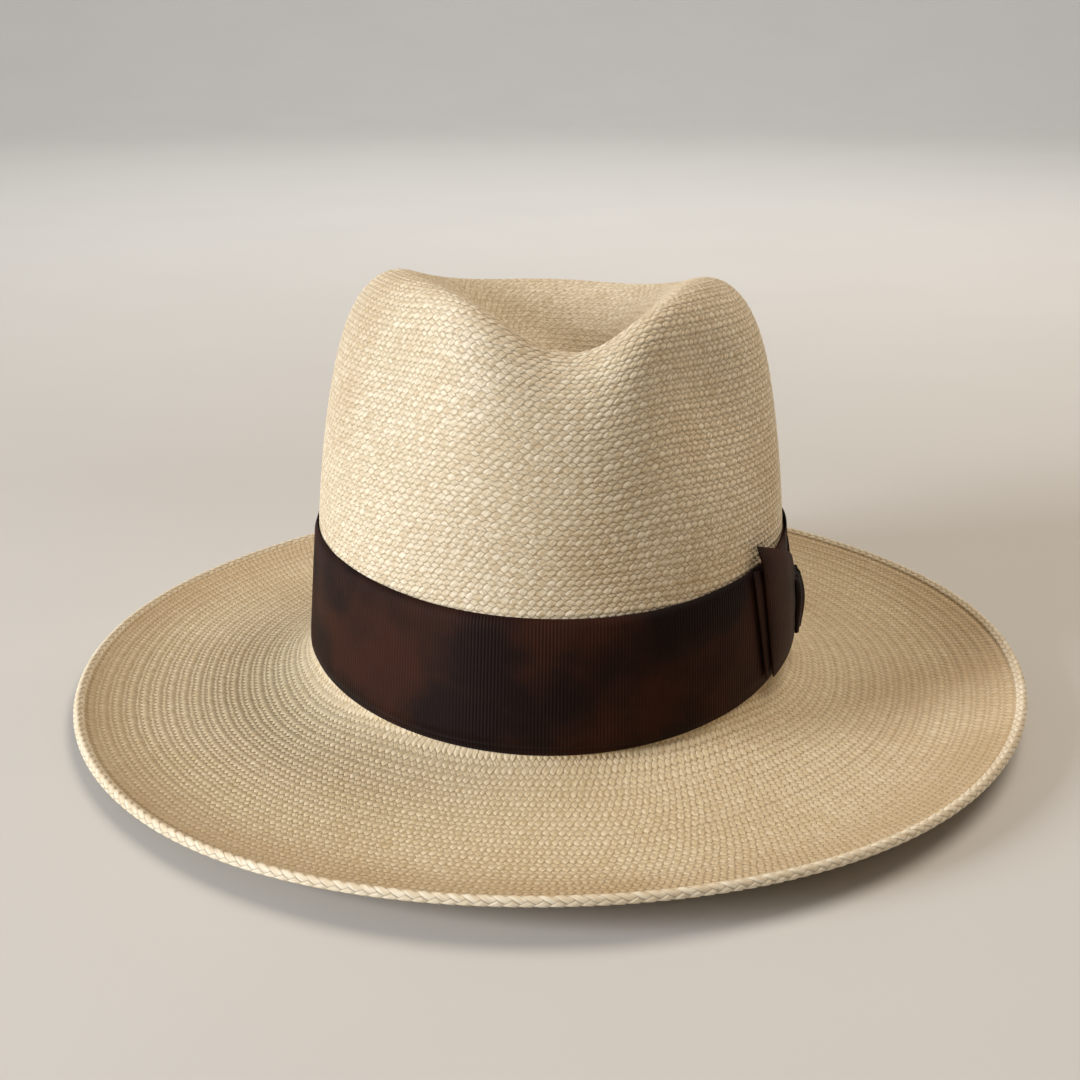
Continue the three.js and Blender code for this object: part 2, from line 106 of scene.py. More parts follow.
RIBBON_WIDTH = 45
RIBBON_THICKNESS = 0.35
LAYER_GAP = 0.3
UNDERLAY_SHOWS = 2.2
BOW_ANGLE = -9
BOW_REACH = 40
BOW_FOOT_REACH = 33
BOW_RISE = 8.5
BOW_PUFF = 2.6
REAR_PUFF = 1.2
BOW_GATHER = 0.3
BOW_NARROW_FOOT = 7
BOW_NARROW_HEAD = 30
BOW_LEAN_IN = 1.6
BOW_LEANS = (46, 54)
BOW_HEAD_FALL = 0.63
BOW_BACKING_SPARE = 2
KNOT_WIDTH = 14
KNOT_WAIST = 1.5
KNOT_FOOT = 6
KNOT_HEIGHT = 21
KNOT_THICKNESS = 2.8
KNOT_RISE = 1.2
KNOT_HUG = 0.6  # how far its back sinks between the gathered loops
UNDER_LOOP_PUFF = 0.3
UNDER_LOOP_HEAD_DROP = 8
UNDER_LOOP_REACH = 1.08
REAR_REACH = 0.62
REAR_HEAD_DROP = 13

SWEATBAND_HEIGHT = 36
LEATHER = 0.9
WELT_HEIGHT = 7
WELT_THICKNESS = 0.3
REED_DIAMETER = 1.8
THREAD_DIAMETER = 0.6
THREAD_LEVEL = 3
SWEATBAND_LEAN = 1.6
LEATHER_FOOT = 0.5
JOIN_TAPE_WIDTH = 10
JOIN_TAPE_FOOT = 5
JOIN_TAPE_HEAD = SWEATBAND_HEIGHT - 2
JOIN_TAPE_THICKNESS = 0.4
REAR_BOW_REACH = 11
REAR_BOW_LEVEL = 9
REAR_KNOT_WIDTH = 3.4
REAR_KNOT_HEIGHT = 4.8
REAR_LOOP_GROWS = (1.4, 3.2)  # half its height, at the knot and at its end
SIZE_TAB_WIDTH = 16
SIZE_TAB_HEIGHT = 12
SIZE_TAB_FOOT = 14
SIZE_TAB_ASIDE = 30
SIZE_TAB_THICKNESS = 0.35

CROWN_GIRTH = math.pi * (CROWN_HALF_WIDTH + CROWN_HALF_LENGTH)

# ---- The weave and the ribbon's ribs ----

CROWN_FLOAT = 3.15  # a strand's share of the way round, on the crown
BRIM_FLOAT = 2.5
WALL_ROW = 1.68  # height of a row of floats on the crown's wall
CROWN_ROWS = 121  # at the sides, from the tip's centre to the break
ROWS_GAINED_FRONT = 6  # more at the front
ROWS_GAINED_BACK = 4
BRIM_ROWS = 39  # at the sides
ZONE_GROWTH = 1.2  # a ring grows by this much before strands are added
FIRST_ROW = 2  # rows inside this one are the rosette at the tip's centre
STRAND_WAVE = 0.3  # how far a strand rises and falls
STRAND_ROUND = 0.05  # how far its middle stands above its edges
FLATNESS = 5  # of a strand's face
FLOAT_FLATNESS = 0.6  # along a float: 1 is a plain wave, and less is flatter
ZIGZAG = 0.2  # how far rows are pushed round in turn, in strands: it sets floats steeper
B_ROWS_GAIN = 0.09  # and down, in rows: it lengthens the floats that lean to the right
GATHER = 0.2  # how far the mesh's points are drawn to the edges of strands
WIDTH_SPREAD = 0.22  # how far the edges of strands stray, in strands
SKEW_A = 0.3  # how far towards the rim a strand's crest lies, if it leans to the left
SKEW_B = 0.65  # or to the right
B_PROUD = 0.1  # the strands that lean to the right, seen from outside, lie higher
WANDER_ROUND = 0.0028  # how far hand work strays round the ring, in radians
WANDER_ACROSS = 0.16  # and across it, in rows
UNEVENNESS = 0.22  # height of the bumps left by blocking and by handling
EDGE_FLOAT = 4.4  # a strand's share of the way along the plaited edge
EDGE_ROWS = 4  # round the plaited edge
EDGE_RELIEF = 1.7  # against the weave of the brim
RIB_PITCH = 1.2
RIB_HEIGHT = 0.07
RIB_STEPS = 4  # faces across a rib
FOLD_SHARE = 0.06  # how much of a loop its fold takes
PLEAT = 0.25  # depth of the gathers beside the knot
CREASE = 0.35  # depth of the creases along the knot
SELVEDGE_FALL = 0.12  # how far a ribbon's two edges fall
SELVEDGE_SHARE = 0.018  # of its width
RIBBON_SWELL = 0.12  # how far a turn of ribbon stands off in places
FOOT_STRAYS = 3  # times as far as the head
STITCH_PITCH = 3.2
FINE = 3  # faces across a strand

NUDGE = 1e-3  # a step round the hat or along a meridian, for taking directions
TABLE_ANGLES = 361
TABLE_STEPS = 801
TABLE_SHARES = 401


# ---- Small tools ----


def mix(low, high, share):
    return low + (high - low) * share


def ease(value, limits):
    low, high = limits
    share = np.clip((value - low) / (high - low), 0, 1)
    return share * share * (3 - 2 * share)


def point(x, y, z):
    return np.stack(np.broadcast_arrays(x, y, z), axis=-1).astype(float)


def ring_angles(count):
    return np.arange(count) / count * 2 * math.pi


def unit(vectors):
    return vectors / np.maximum(np.linalg.norm(vectors, axis=-1, keepdims=True), 1e-12)


# ---- The shape of the straw ----


def side_lift(angle):
    return BREAK_SIDE_LIFT * np.cos(angle) ** 2


def pinch_depth(angle, up):
    level = ((up - PINCH_LEVEL) / PINCH_RISE) ** 2
    depth = 0.0
    for side, amount in ((1, PINCH_DEPTH_LEFT), (-1, PINCH_DEPTH_RIGHT)):
        turn = angle - math.radians(side * PINCH_ANGLE - 90)
        away = np.arctan2(np.sin(turn), np.cos(turn)) / math.radians(PINCH_SPREAD)
        depth = depth + amount * np.exp(-(away**2) - level)
    return depth


def dent_depth(x, y, up):
    back = y / CROWN_HALF_LENGTH
    narrowing = ease(-back, DENT_NARROWS)
    forward = ease(-back, DENT_VEERS)
    centre = DENT_OFFSET_FRONT * forward
    skew = np.where(x > centre, -1, 1) * DENT_SKEW * forward
    half_width = mix(DENT_HALF_WIDTH_BACK, DENT_HALF_WIDTH_FRONT, narrowing) * (1 + skew)
    lifting = 1 - DENT_FRONT_RISE * ease(-back, DENT_LIFTS)
    along = (1 - ease(back, DENT_CLOSES)) * lifting
    across = np.exp(-(np.abs((x - centre) / half_width) ** DENT_POWER))
    return DENT_DEPTH * along * across * ease(up, DENT_LEVELS)


def squareness(angle):
    """How sharply the crown turns over at its top: sharpest at the front, at the lip."""
    turn = angle - math.radians(LIP_ANGLE - 90)
    away = np.arctan2(np.sin(turn), np.cos(turn)) / math.radians(LIP_SPREAD)
    return mix(CROWN_SQUARENESS, LIP_SQUARENESS, np.exp(-(away**2)))


def crown_point(angle, climb):
    """Outer face of the crown; climb runs from 0 at the break to a right angle at the tip."""
    power = squareness(angle)
    flat = np.maximum(np.cos(climb), 0)
    high = np.maximum(np.sin(climb), 0)
    scale = (flat**power + high**power) ** (-1 / power)
    out = scale * flat
    up = scale * high
    level = mix(side_lift(angle), CROWN_HEIGHT, up)
    rise = level - side_lift(angle)
    x = out * (CROWN_HALF_WIDTH - SIDE_TAPER * rise) * np.cos(angle)
    y = out * (CROWN_HALF_LENGTH - END_TAPER * rise) * np.sin(angle)
    inward = np.maximum(1 - pinch_depth(angle, up) / np.maximum(np.hypot(x, y), 1), 0)
    x = x * inward
    y = y * inward
    share = rise / CROWN_HEIGHT
    height = level - dent_depth(x, y, up) - CROWN_LEAN * x * share / CROWN_HALF_WIDTH
    return point(x + CROWN_SHIFT * share, y + CROWN_SET_BACK, height + BREAK_HEIGHT)


def rim_height(angle):
    return (
        RIM_HEIGHT
        + RIM_TO_LEFT * np.cos(angle)
        - RIM_TO_FRONT * np.sin(angle)
        - RIM_SADDLE * np.cos(2 * angle)
        + RIM_CORNERS * np.cos(4 * angle)
    )


def brim_point(angle, reach):
    """Upper face of the brim; reach runs from 0 at the break to 1 at the rim."""
    turn = np.clip(reach / REST_FROM, 0, 1) * math.pi / 2
    share = np.where(reach < REST_FROM, REST_FROM * (1 - np.cos(turn)), reach)
    falling = mix(BREAK_HEIGHT + side_lift(angle), STRAW, np.sin(turn))
    rising = np.clip((reach - REST_TO) / (1 - REST_TO), 0, 2) ** 2
    height = np.where(reach < REST_FROM, falling, mix(STRAW, rim_height(angle), rising))
    x = mix(CROWN_HALF_WIDTH, BRIM_HALF_WIDTH, share) * np.cos(angle)
    y = mix(CROWN_HALF_LENGTH, BRIM_HALF_LENGTH, share) * np.sin(angle)
    return point(x, y + mix(CROWN_SET_BACK, 0, share), height)


def straw_point(angle, along):
    """The whole straw: along is -1 at the tip's centre, 0 at the break and 1 at the rim."""
    crown = crown_point(angle, np.clip(-along, 0, 1) * math.pi / 2)
    brim = brim_point(angle, np.maximum(along, 0))
    return np.where(np.asarray(along)[..., None] < 0, crown, brim)


def straw_normal(angle, along):
    lower = np.maximum(along - NUDGE, -1 + NUDGE)
    upper = np.minimum(along + NUDGE, 1)
    down = straw_point(angle, upper) - straw_point(angle, lower)
    turn = straw_point(angle + NUDGE, upper) - straw_point(angle - NUDGE, upper)
    return unit(np.cross(down, turn))


def wall_point(angle, height, offset):
    """A place on the crown's wall, at a height above the break, moved out by offset."""
    up = np.maximum(height, 0) / (CROWN_HEIGHT - side_lift(angle))
    power = squareness(angle)
    climb = np.arctan2(up, (1 - up**power) ** (1 / power))
    place = crown_point(angle, climb)
    ahead = crown_point(angle + NUDGE, climb) - place
    outward = unit(point(ahead[..., 1], -ahead[..., 0], 0))
    place = place + outward * np.asarray(offset)[..., None]
    place[..., 2] += np.minimum(height, 0)
    return place


# ---- Making meshes ----


def add_object(name, data):
    made = bpy.data.objects.new(name, data)
    bpy.context.scene.collection.objects.link(made)
    return made


def make_object(name, points, faces, maps):
    """A smooth mesh object from points in millimetres, faces as arrays of three or four
    corners, and for each named map the corners' coordinates, in the faces' order."""
    mesh = bpy.data.meshes.new(name)
    mesh.vertices.add(len(points))
    mesh.vertices.foreach_set("co", (points * MM).astype(np.float32).ravel())
    corners = np.concatenate([block.ravel() for block in faces])
    sizes = np.concatenate([np.full(len(block), block.shape[1]) for block in faces])
    mesh.loops.add(len(corners))
    mesh.loops.foreach_set("vertex_index", corners.astype(np.int32))
    mesh.polygons.add(len(sizes))
    starts = np.concatenate([[0], np.cumsum(sizes)[:-1]])
    mesh.polygons.foreach_set("loop_start", starts.astype(np.int32))
    mesh.polygons.foreach_set("use_smooth", np.ones(len(sizes), bool))
    for title, coordinates in maps.items():
        layer = mesh.uv_layers.new(name=title)
        values = np.concatenate([block.reshape(-1, 2) for block in coordinates])
        layer.uv.foreach_set("vector", values.astype(np.float32).ravel())
    mesh.update(calc_edges=True)
    mesh.validate()
    return add_object(name, mesh)


def grid_corners(rows, columns, wrap_columns):
    """Row and column numbers of the corners of a grid's quads."""
    spans = columns if wrap_columns else columns - 1
    row, column = np.meshgrid(np.arange(rows - 1), np.arange(spans), indexing="ij")
    row = row.ravel()[:, None] + np.array([0, 1, 1, 0])
    column = column.ravel()[:, None] + np.array([0, 0, 1, 1])
    return row, column


def sweep(name, sections, ring, map_scale=1.0):
    """A closed body through sections, an array of (sections, points, 3). A ring joins the
    last to the first; otherwise strips across the section close the ends."""
    count, size, _ = sections.shape
    rows = np.concatenate([sections, sections[:1]]) if ring else sections
    along = np.linalg.norm(np.diff(rows, axis=0), axis=2).mean(axis=1)
    along = np.concatenate([[0], np.cumsum(along)]) * map_scale
    round_it = np.roll(sections, -1, axis=1) - sections
    across = np.linalg.norm(round_it, axis=2).mean(axis=0)
    across = np.concatenate([[0], np.cumsum(across)]) * map_scale
    row, column = grid_corners(len(rows), size, True)
    faces = [(row % count) * size + column % size]
    maps = [np.stack([along[row], across[column]], axis=-1)]
    if not ring:
        step = np.arange(size // 2 - 1)[:, None]
        start = np.concatenate([step, size - 1 - step, size - 2 - step, step + 1], axis=1)
        end = (count - 1) * size + start[:, ::-1]
        for cap in (start, end):
            faces.append(cap)
            maps.append(np.zeros(cap.shape + (2,)))
    points = sections.reshape(-1, 3)
    if signed_volume(points, faces) < 0:
        faces = [block[:, ::-1] for block in faces]
        maps = [block[:, ::-1] for block in maps]
    return make_object(name, points, faces, {"along": maps})


def signed_volume(points, faces):
    total = 0.0
    for block in faces:
        for third in range(2, block.shape[1]):
            a, b, c = (points[block[:, corner]] for corner in (0, third - 1, third))
            total += (a * np.cross(b, c)).sum() / 6
    return total


# ---- Where woven rows lie ----


def row_table(start, end):
    """For angles round the hat and shares of the way along each meridian, the value of
    along there, so that rows are evenly spaced; and the meridians' mean length."""
    angles = np.linspace(0, 2 * math.pi, TABLE_ANGLES)
    along = np.linspace(start, end, TABLE_STEPS)
    places = straw_point(angles[:, None], along[None, :])
    lengths = np.linalg.norm(np.diff(places, axis=1), axis=2)
    travelled = np.pad(np.cumsum(lengths, axis=1), ((0, 0), (1, 0)))
    shares = np.linspace(0, 1, TABLE_SHARES)
    table = [np.interp(shares, run / run[-1], along) for run in travelled]
    return np.array(table), travelled[:, -1]


def look_up(table, angle, share):
    """Reads a row table between its entries."""
    row = (angle / (2 * math.pi) % 1) * (table.shape[0] - 1)
    column = np.clip(share, 0, 1) * (table.shape[1] - 1)
    low_row = np.minimum(row.astype(int), table.shape[0] - 2)
    low_column = np.minimum(column.astype(int), table.shape[1] - 2)
    part_row = row - low_row
    part_column = column - low_column
    low = mix(table[low_row, low_column], table[low_row + 1, low_column], part_row)
    high = mix(table[low_row, low_column + 1], table[low_row + 1, low_column + 1], part_row)
    return mix(low, high, part_column)


EDGE_INSET = EDGE_WIDTH / (BRIM_HALF_WIDTH - CROWN_HALF_WIDTH)
crown_table, crown_lengths = row_table(-1, 0)
brim_table, brim_lengths = row_table(0, 1 - EDGE_INSET * 0.8)
ALL_ROWS = CROWN_ROWS + BRIM_ROWS


def break_row(angle):
    """The row on the line where crown and brim meet: the weave is round and the crown is
    long, so that line cuts across rows."""
    gained = np.where(np.sin(angle) < 0, ROWS_GAINED_FRONT, ROWS_GAINED_BACK)
    return CROWN_ROWS + gained * np.sin(angle) ** 2


def along_at(angle, row):
    """The value of along on a woven row, counted from the tip's centre."""
    last = break_row(angle)
    share = np.clip(row / last, 0, 1)
    angles = np.linspace(0, 2 * math.pi, TABLE_ANGLES)
    length = np.interp(angle % (2 * math.pi), angles, crown_lengths)
    widening = WALL_ROW * last / length - 1
    crown = look_up(crown_table, angle, share - widening * share * (1 - share))
    brim = look_up(brim_table, angle, (row - last) / (ALL_ROWS - last))
    return np.where(row <= last, crown, brim)


def ring_lengths():
    angles = np.linspace(0, 2 * math.pi, 181)
    rows = np.arange(ALL_ROWS + 1.0)
    angle, row = np.meshgrid(angles, rows)
    places = straw_point(angle, along_at(angle, row))
    return np.linalg.norm(np.diff(places, axis=1), axis=2).sum(axis=1)


def plan_zones():
    """Bands of rows in which the number of strands is constant: (first row, last, count)."""
    girth = ring_lengths()
    zones = []
    start = FIRST_ROW
    while start < ALL_ROWS:
        end = start + 1
        while end < ALL_ROWS and girth[end + 1] < girth[start] * ZONE_GROWTH:
            end += 1
        if start < CROWN_ROWS < end:
            end = CROWN_ROWS
        width = CROWN_FLOAT if end <= CROWN_ROWS else BRIM_FLOAT
        zones.append((start, end, round((girth[start] + girth[end]) / 2 / width)))
        start = end
    return zones


# ---- The weave: a 2/2 twill of strands that lean both ways ----


def lopsided(turn, skew):
    """A strand's rise and fall, flat along its floats; skew moves its crest to the rim."""
    wave = np.cos(turn + skew * np.cos(turn))
    return np.sign(wave) * np.abs(wave) ** FLOAT_FLATNESS


def weave_height(turn, row):
    """Height of the weave, in millimetres below its highest point. turn counts strands
    round the ring, and row counts rows of floats."""
    total = 0.0
    for side_a, side_b in ((1, 1), (1, -1), (-1, 1), (-1, -1)):
        a = turn - row + side_a * 1e-5
        b = turn + row + side_b * 1e-5
        strand_a = np.floor(a)
        strand_b = np.floor(b)
        over_a = lopsided((strand_a - b) * math.pi / 2, SKEW_A)
        over_b = lopsided((a - strand_b - 3) * math.pi / 2, SKEW_B)
        round_a = 1 - np.abs(2 * (a - strand_a) - 1) ** FLATNESS
        round_b = 1 - np.abs(2 * (b - strand_b) - 1) ** FLATNESS
        height_a = STRAND_WAVE * over_a + STRAND_ROUND * round_a
        height_b = STRAND_WAVE * over_b + STRAND_ROUND * round_b + B_PROUD
        a_on_top = (strand_a - strand_b) % 4 < 2
        total = total + np.where(a_on_top, height_a, height_b)
    return total / 4 - STRAND_WAVE - STRAND_ROUND - B_PROUD


def strand_edge(number, count, family):
    """How far one edge of a strand strays; the same all along it."""
    wave = np.sin((number % count) * 12.9898 + family * 78.233) * 43758.5453
    return WIDTH_SPREAD * (wave - np.floor(wave) - 0.5)


def settle(line, count, family):
    """A line of the lattice, drawn to the nearer edge of its strand, and how far it strays."""
    strand = np.floor(line + 1e-6)
    part = line - strand
    part = part - GATHER * np.sin(2 * math.pi * part)
    near = strand_edge(strand, count, family)
    far = strand_edge(strand + 1, count, family)
    return strand + part, mix(near, far, part)


def wander(angle, row):
    """How far hand work strays round the ring and across it, in radians and in rows."""
    sideways = np.sin(7 * angle + row / 9) + np.sin(11 * angle - row / 6 + 1)
    across = np.sin(9 * angle + row / 13 + 2) + np.sin(5 * angle - row / 8)
    loose = ease(row, (4, 14)) * ease(ALL_ROWS - row, (0, 6))
    return WANDER_ROUND * sideways * loose, WANDER_ACROSS * across * loose


def unevenness(angle, row):
    """Soft bumps left by blocking and by handling, in millimetres."""
    waves = np.sin(3 * angle + row / 17) * np.sin(5 * angle - row / 11 + 1)
    waves = waves + 0.6 * np.sin(8 * angle + row / 7 + 2)
    return UNEVENNESS * waves * ease(row, (6, 20)) * ease(ALL_ROWS - row, (0, 8))


def straw_surface(angle, row, depth):
    """A place on the straw, depth below its outer face."""
    sideways, across = wander(angle, row)
    bumps = unevenness(angle, row)
    angle = angle + sideways
    along = along_at(angle, row + across)
    places = straw_point(angle, along)
    return places + straw_normal(angle, along) * np.asarray(bumps - depth)[..., None]


def lattice_place(turn, row, count):
    """A point of the lattice drawn to the edges of its strands, and how far it strays."""
    a, stray_a = settle(turn - row, count, 1)
    b, stray_b = settle(turn + row, count, 2)
    return (a + b) / 2, (b - a) / 2, (stray_a + stray_b) / 2, (stray_b - stray_a) / 2


def settled(turns, rows, count):
    """The same for lists of corners, without the straying."""
    places = [lattice_place(turn, row, count) for turn, row in zip(turns, rows)]
    return [place[0] for place in places], [place[1] for place in places]


# One ring of points: the first one's number, how many, how far round they are shifted as a
# share of a step, and the count of strands and the row of the weave there.
Ring = namedtuple("Ring", "first steps shift count row")


class Sheet:
    """Points and faces of one woven face of the straw, from the tip out to the rim."""

    def __init__(self, fine, relief, depth, first_point):
        self.fine = fine
        self.relief = relief
        self.depth = depth
        self.next = first_point
        self.points = []
        self.faces = []
        self.weave = []
        self.shares = []

    def add_points(self, places):
        first = self.next
        self.points.append(places)
        self.next += len(places)
        return first

    def add_faces(self, corners, turns, rows, count):
        self.faces.append(np.stack(corners, axis=1))
        turns = np.stack(turns, axis=1)
        rows = np.stack(rows, axis=1)
        self.weave.append(np.stack([turns, rows], axis=-1))
        self.shares.append(np.stack([turns / count, rows], axis=-1))

    def ring(self, row, number, count, loose):
        """Adds one ring's points; odd rings are half a step round from even ones."""
        turn = (np.arange(count * self.fine) + (number % 2) / 2) / self.fine
        turn, row, aside, down = lattice_place(turn, row, count)
        sunk = weave_height(turn, row) * self.relief
        sway = np.sin(math.pi * (row - 0.75))
        angle = (turn + aside * loose + ZIGZAG * sway) / count * 2 * math.pi
        row = row + down * loose + B_ROWS_GAIN * sway
        return self.add_points(straw_surface(angle, row, self.depth - sunk))

    def zone(self, start, end, count, first_ring):
        """Adds the rings and faces of a zone, and returns its first and last ring."""
        steps = count * self.fine
        shift = 1 / (2 * self.fine)
        last_ring = round((end - start) / shift)
        numbers = range(first_ring, last_ring + 1)
        loose = {n: ease(min(n, last_ring - n) * shift, (0.3, 1.5)) for n in numbers}
        firsts = {n: self.ring(start + n * shift, n, count, loose[n]) for n in numbers}
        step = np.arange(steps)
        for n in numbers:
            left = firsts[n] + step
            right = firsts[n] + (step + 1) % steps
            turn = (step + (n % 2) / 2) / self.fine
            row = np.full(steps, start + n * shift)
            between = (step + n % 2) % steps
            corners, turns, rows = [left], [turn], [row]
            if n < last_ring:
                corners.append(firsts[n + 1] + between)
                turns.append(turn + shift)
                rows.append(row + shift)
            corners.append(right)
            turns.append(turn + 2 * shift)
            rows.append(row)
            if n > first_ring:
                corners.append(firsts[n - 1] + between)
                turns.append(turn + shift)
                rows.append(row - shift)
            self.add_faces(corners, *settled(turns, rows, count), count)
        top = Ring(firsts[first_ring], steps, (first_ring % 2) / 2, count, start)
        bottom = Ring(firsts[last_ring], steps, (last_ring % 2) / 2, count, end)
        return top, bottom

    def join(self, upper, lower, height):
        """Fills the strip between two rings whose numbers of points differ."""
        corners, shares, below = zip_rings(upper, lower)
        turns = shares * upper.count
        rows = upper.row + height * below
        self.add_faces(corners.T, turns.T, rows.T, upper.count)

    def close(self, ring):
        """Closes the middle of the tip with a fan."""
        centre = self.add_points(straw_surface(np.zeros(1), np.zeros(1), self.depth))
        step = np.arange(ring.steps)
        turn = step / self.fine
        edge = np.full(ring.steps, float(ring.row))
        corners = [step * 0 + centre, ring.first + step, ring.first + (step + 1) % ring.steps]
        turns = [turn, turn, turn + 1 / self.fine]
        self.add_faces(corners, turns, [edge * 0, edge, edge], ring.count)

    def turn_over(self):
        """Faces the other way."""
        self.faces = [block[:, ::-1] for block in self.faces]
        self.weave = [block[:, ::-1] for block in self.weave]
        self.shares = [block[:, ::-1] for block in self.shares]


def zip_rings(upper, lower):
    """Triangles between two rings: the corners' numbers, their shares of the way round, and
    1 where they lie on the lower ring."""
    upper_ends = (np.arange(upper.steps) + upper.shift + 0.5) / upper.steps
    lower_ends = (np.arange(lower.steps) + lower.shift + 0.5) / lower.steps
    from_upper = np.repeat([True, False], [upper.steps, lower.steps])
    from_upper = from_upper[np.argsort(np.concatenate([upper_ends, lower_ends]), kind="stable")]
    done_upper = np.cumsum(from_upper) - from_upper
    done_lower = np.cumsum(~from_upper) - ~from_upper
    low = np.stack([done_upper * 0 + 1, done_upper * 0 + 1, done_upper * 0], axis=1)
    number = np.stack([done_lower, done_lower + 1, done_upper], axis=1)
    low[from_upper] = [0, 1, 0]
    number[from_upper] = np.stack([done_upper, done_lower, done_upper + 1], axis=1)[from_upper]
    upper_corner = upper.first + number % upper.steps
    lower_corner = lower.first + number % lower.steps
    upper_share = (number + upper.shift) / upper.steps
    lower_share = (number + lower.shift) / lower.steps
    return (
        np.where(low, lower_corner, upper_corner),
        np.where(low, lower_share, upper_share),
        low,
    )


def weave_sheet(fine, relief, depth, first_point=0):
    """One face of the straw, zone by zone, and its ring at the rim."""
    sheet = Sheet(fine, relief, depth, first_point)
    above = None
    for start, end, count in plan_zones():
        top, bottom = sheet.zone(start, end, count, 0 if above is None else 1)
        if above is None:
            sheet.close(top)
        else:
            sheet.join(above, top, 1 / (2 * fine))
        above = bottom
    return sheet, above


def flat_map(shares, low, high):
    """Lays the straw out flat without overlaps, between two heights of the unit square: the
    crown as a strip right across, and the brim as two, each half the way round."""
    lengths = np.array([crown_lengths.mean(), brim_lengths.mean(), brim_lengths.mean()])
    foot = low + (high - low) * np.concatenate([[0], np.cumsum(lengths)]) / lengths.sum()
    spare = 0.004
    laid = []
    for block in shares:
        share = block[..., 0]
        row = block[..., 1]
        middle = share.mean(axis=1, keepdims=True)
        on_crown = row.mean(axis=1, keepdims=True) < CROWN_ROWS
        strip = np.where(on_crown, 0, np.where(middle < 0.5, 1, 2))
        across = np.where(on_crown, share, 2 * share - (strip == 2))
        down = np.where(on_crown, row / CROWN_ROWS, (row - CROWN_ROWS) / BRIM_ROWS)
        height = mix(foot[strip] + spare, foot[strip + 1] - spare, np.clip(down, 0, 1))
        laid.append(np.stack([mix(spare, 1 - spare, np.clip(across, 0, 1)), height], axis=-1))
    return laid


BAKE_MAP = "OFBake"  # the map's name when the piece is baked, so that it isn't unwrapped again
OUTER_SHARE = 0.62  # of the map's height


def woven_straw():
    outer, outer_rim = weave_sheet(FINE, 1, 0)
    inner, inner_rim = weave_sheet(1, 0, STRAW, outer.next)
    inner.turn_over()
    outer.join(outer_rim, inner_rim, 0)
    points = np.concatenate(outer.points + inner.points)
    flat = flat_map(outer.shares, 0, OUTER_SHARE) + flat_map(inner.shares, OUTER_SHARE, 1)
    maps = {"along": outer.weave + inner.weave, BAKE_MAP: flat}
    return make_object("woven_straw", points, outer.faces + inner.faces, maps)


def rim_line(angle):
    """The middle of the plaited edge, and the way out from it in plan."""
    def centre(turn):
        places = brim_point(turn, 1 - EDGE_INSET / 2)
        places[..., 2] -= STRAW / 2
        return places

    ahead = centre(angle + NUDGE) - centre(angle)
    return centre(angle), unit(point(ahead[..., 1], -ahead[..., 0], 0))


def plaited_edge():
    girth = 2 * math.pi * math.sqrt((BRIM_HALF_WIDTH**2 + BRIM_HALF_LENGTH**2) / 2)
    count = round(girth / EDGE_FLOAT)
    turn = np.arange(count * 2 * FINE) / (2 * FINE)
    row = np.arange(EDGE_ROWS * 2 * FINE) / (2 * FINE)
    turn, row = np.meshgrid(turn, row, indexing="ij")
    angle = turn / count * 2 * math.pi
    centre, outward = rim_line(angle)
    sunk = weave_height(turn, row) * EDGE_RELIEF
    round_it = row / EDGE_ROWS * 2 * math.pi
    across = (EDGE_WIDTH / 2 + sunk) * np.cos(round_it)
    places = centre + outward * across[..., None]
    places[..., 2] += (EDGE_HEIGHT / 2 + sunk) * np.sin(round_it)
    return weave_tube("plaited_edge", places)


def weave_tube(name, places):
    """A closed tube of woven strands, mapped by strands along it and rows round it."""
    steps, size, _ = places.shape
    down, across = grid_corners(steps + 1, size, True)
    faces = (down % steps) * size + across % size
    coordinates = np.stack([down / (2 * FINE), across / (2 * FINE)], axis=-1)
    points = places.reshape(-1, 3)
    if signed_volume(points, [faces]) < 0:
        faces = faces[:, ::-1]
        coordinates = coordinates[:, ::-1]
    return make_object(name, points, [faces], {"along": [coordinates]})


# ---- Ribbon ----


def layer_offset(layer):
    """Distance of a ribbon layer's inner face from the straw."""
    return LAYER_GAP * (layer + 1) + RIBBON_THICKNESS * layer


def rib_relief(distance):
    """Height of a ribbed ribbon's face at a distance along it."""
    return RIB_HEIGHT * (np.abs(np.cos(distance / RIB_PITCH * math.pi)) ** 0.7 - 1)


def selvedge(rise):
    """The face's fall at a ribbon's two edges; rise runs from 0 to 1 across it."""
    near = np.minimum(rise, 1 - rise)
    return -SELVEDGE_FALL * (1 - ease(near, (0, SELVEDGE_SHARE)))


def strip_sections(angles, heights, inner, outer):
    """Sections of a strip on the wall; heights, inner and outer may vary with the angle."""
    angle = angles[:, None]
    outside = wall_point(angle, heights, outer)
    inside = wall_point(angle, heights[:, ::-1], inner[:, ::-1])
    return np.concatenate([outside, inside], axis=1)


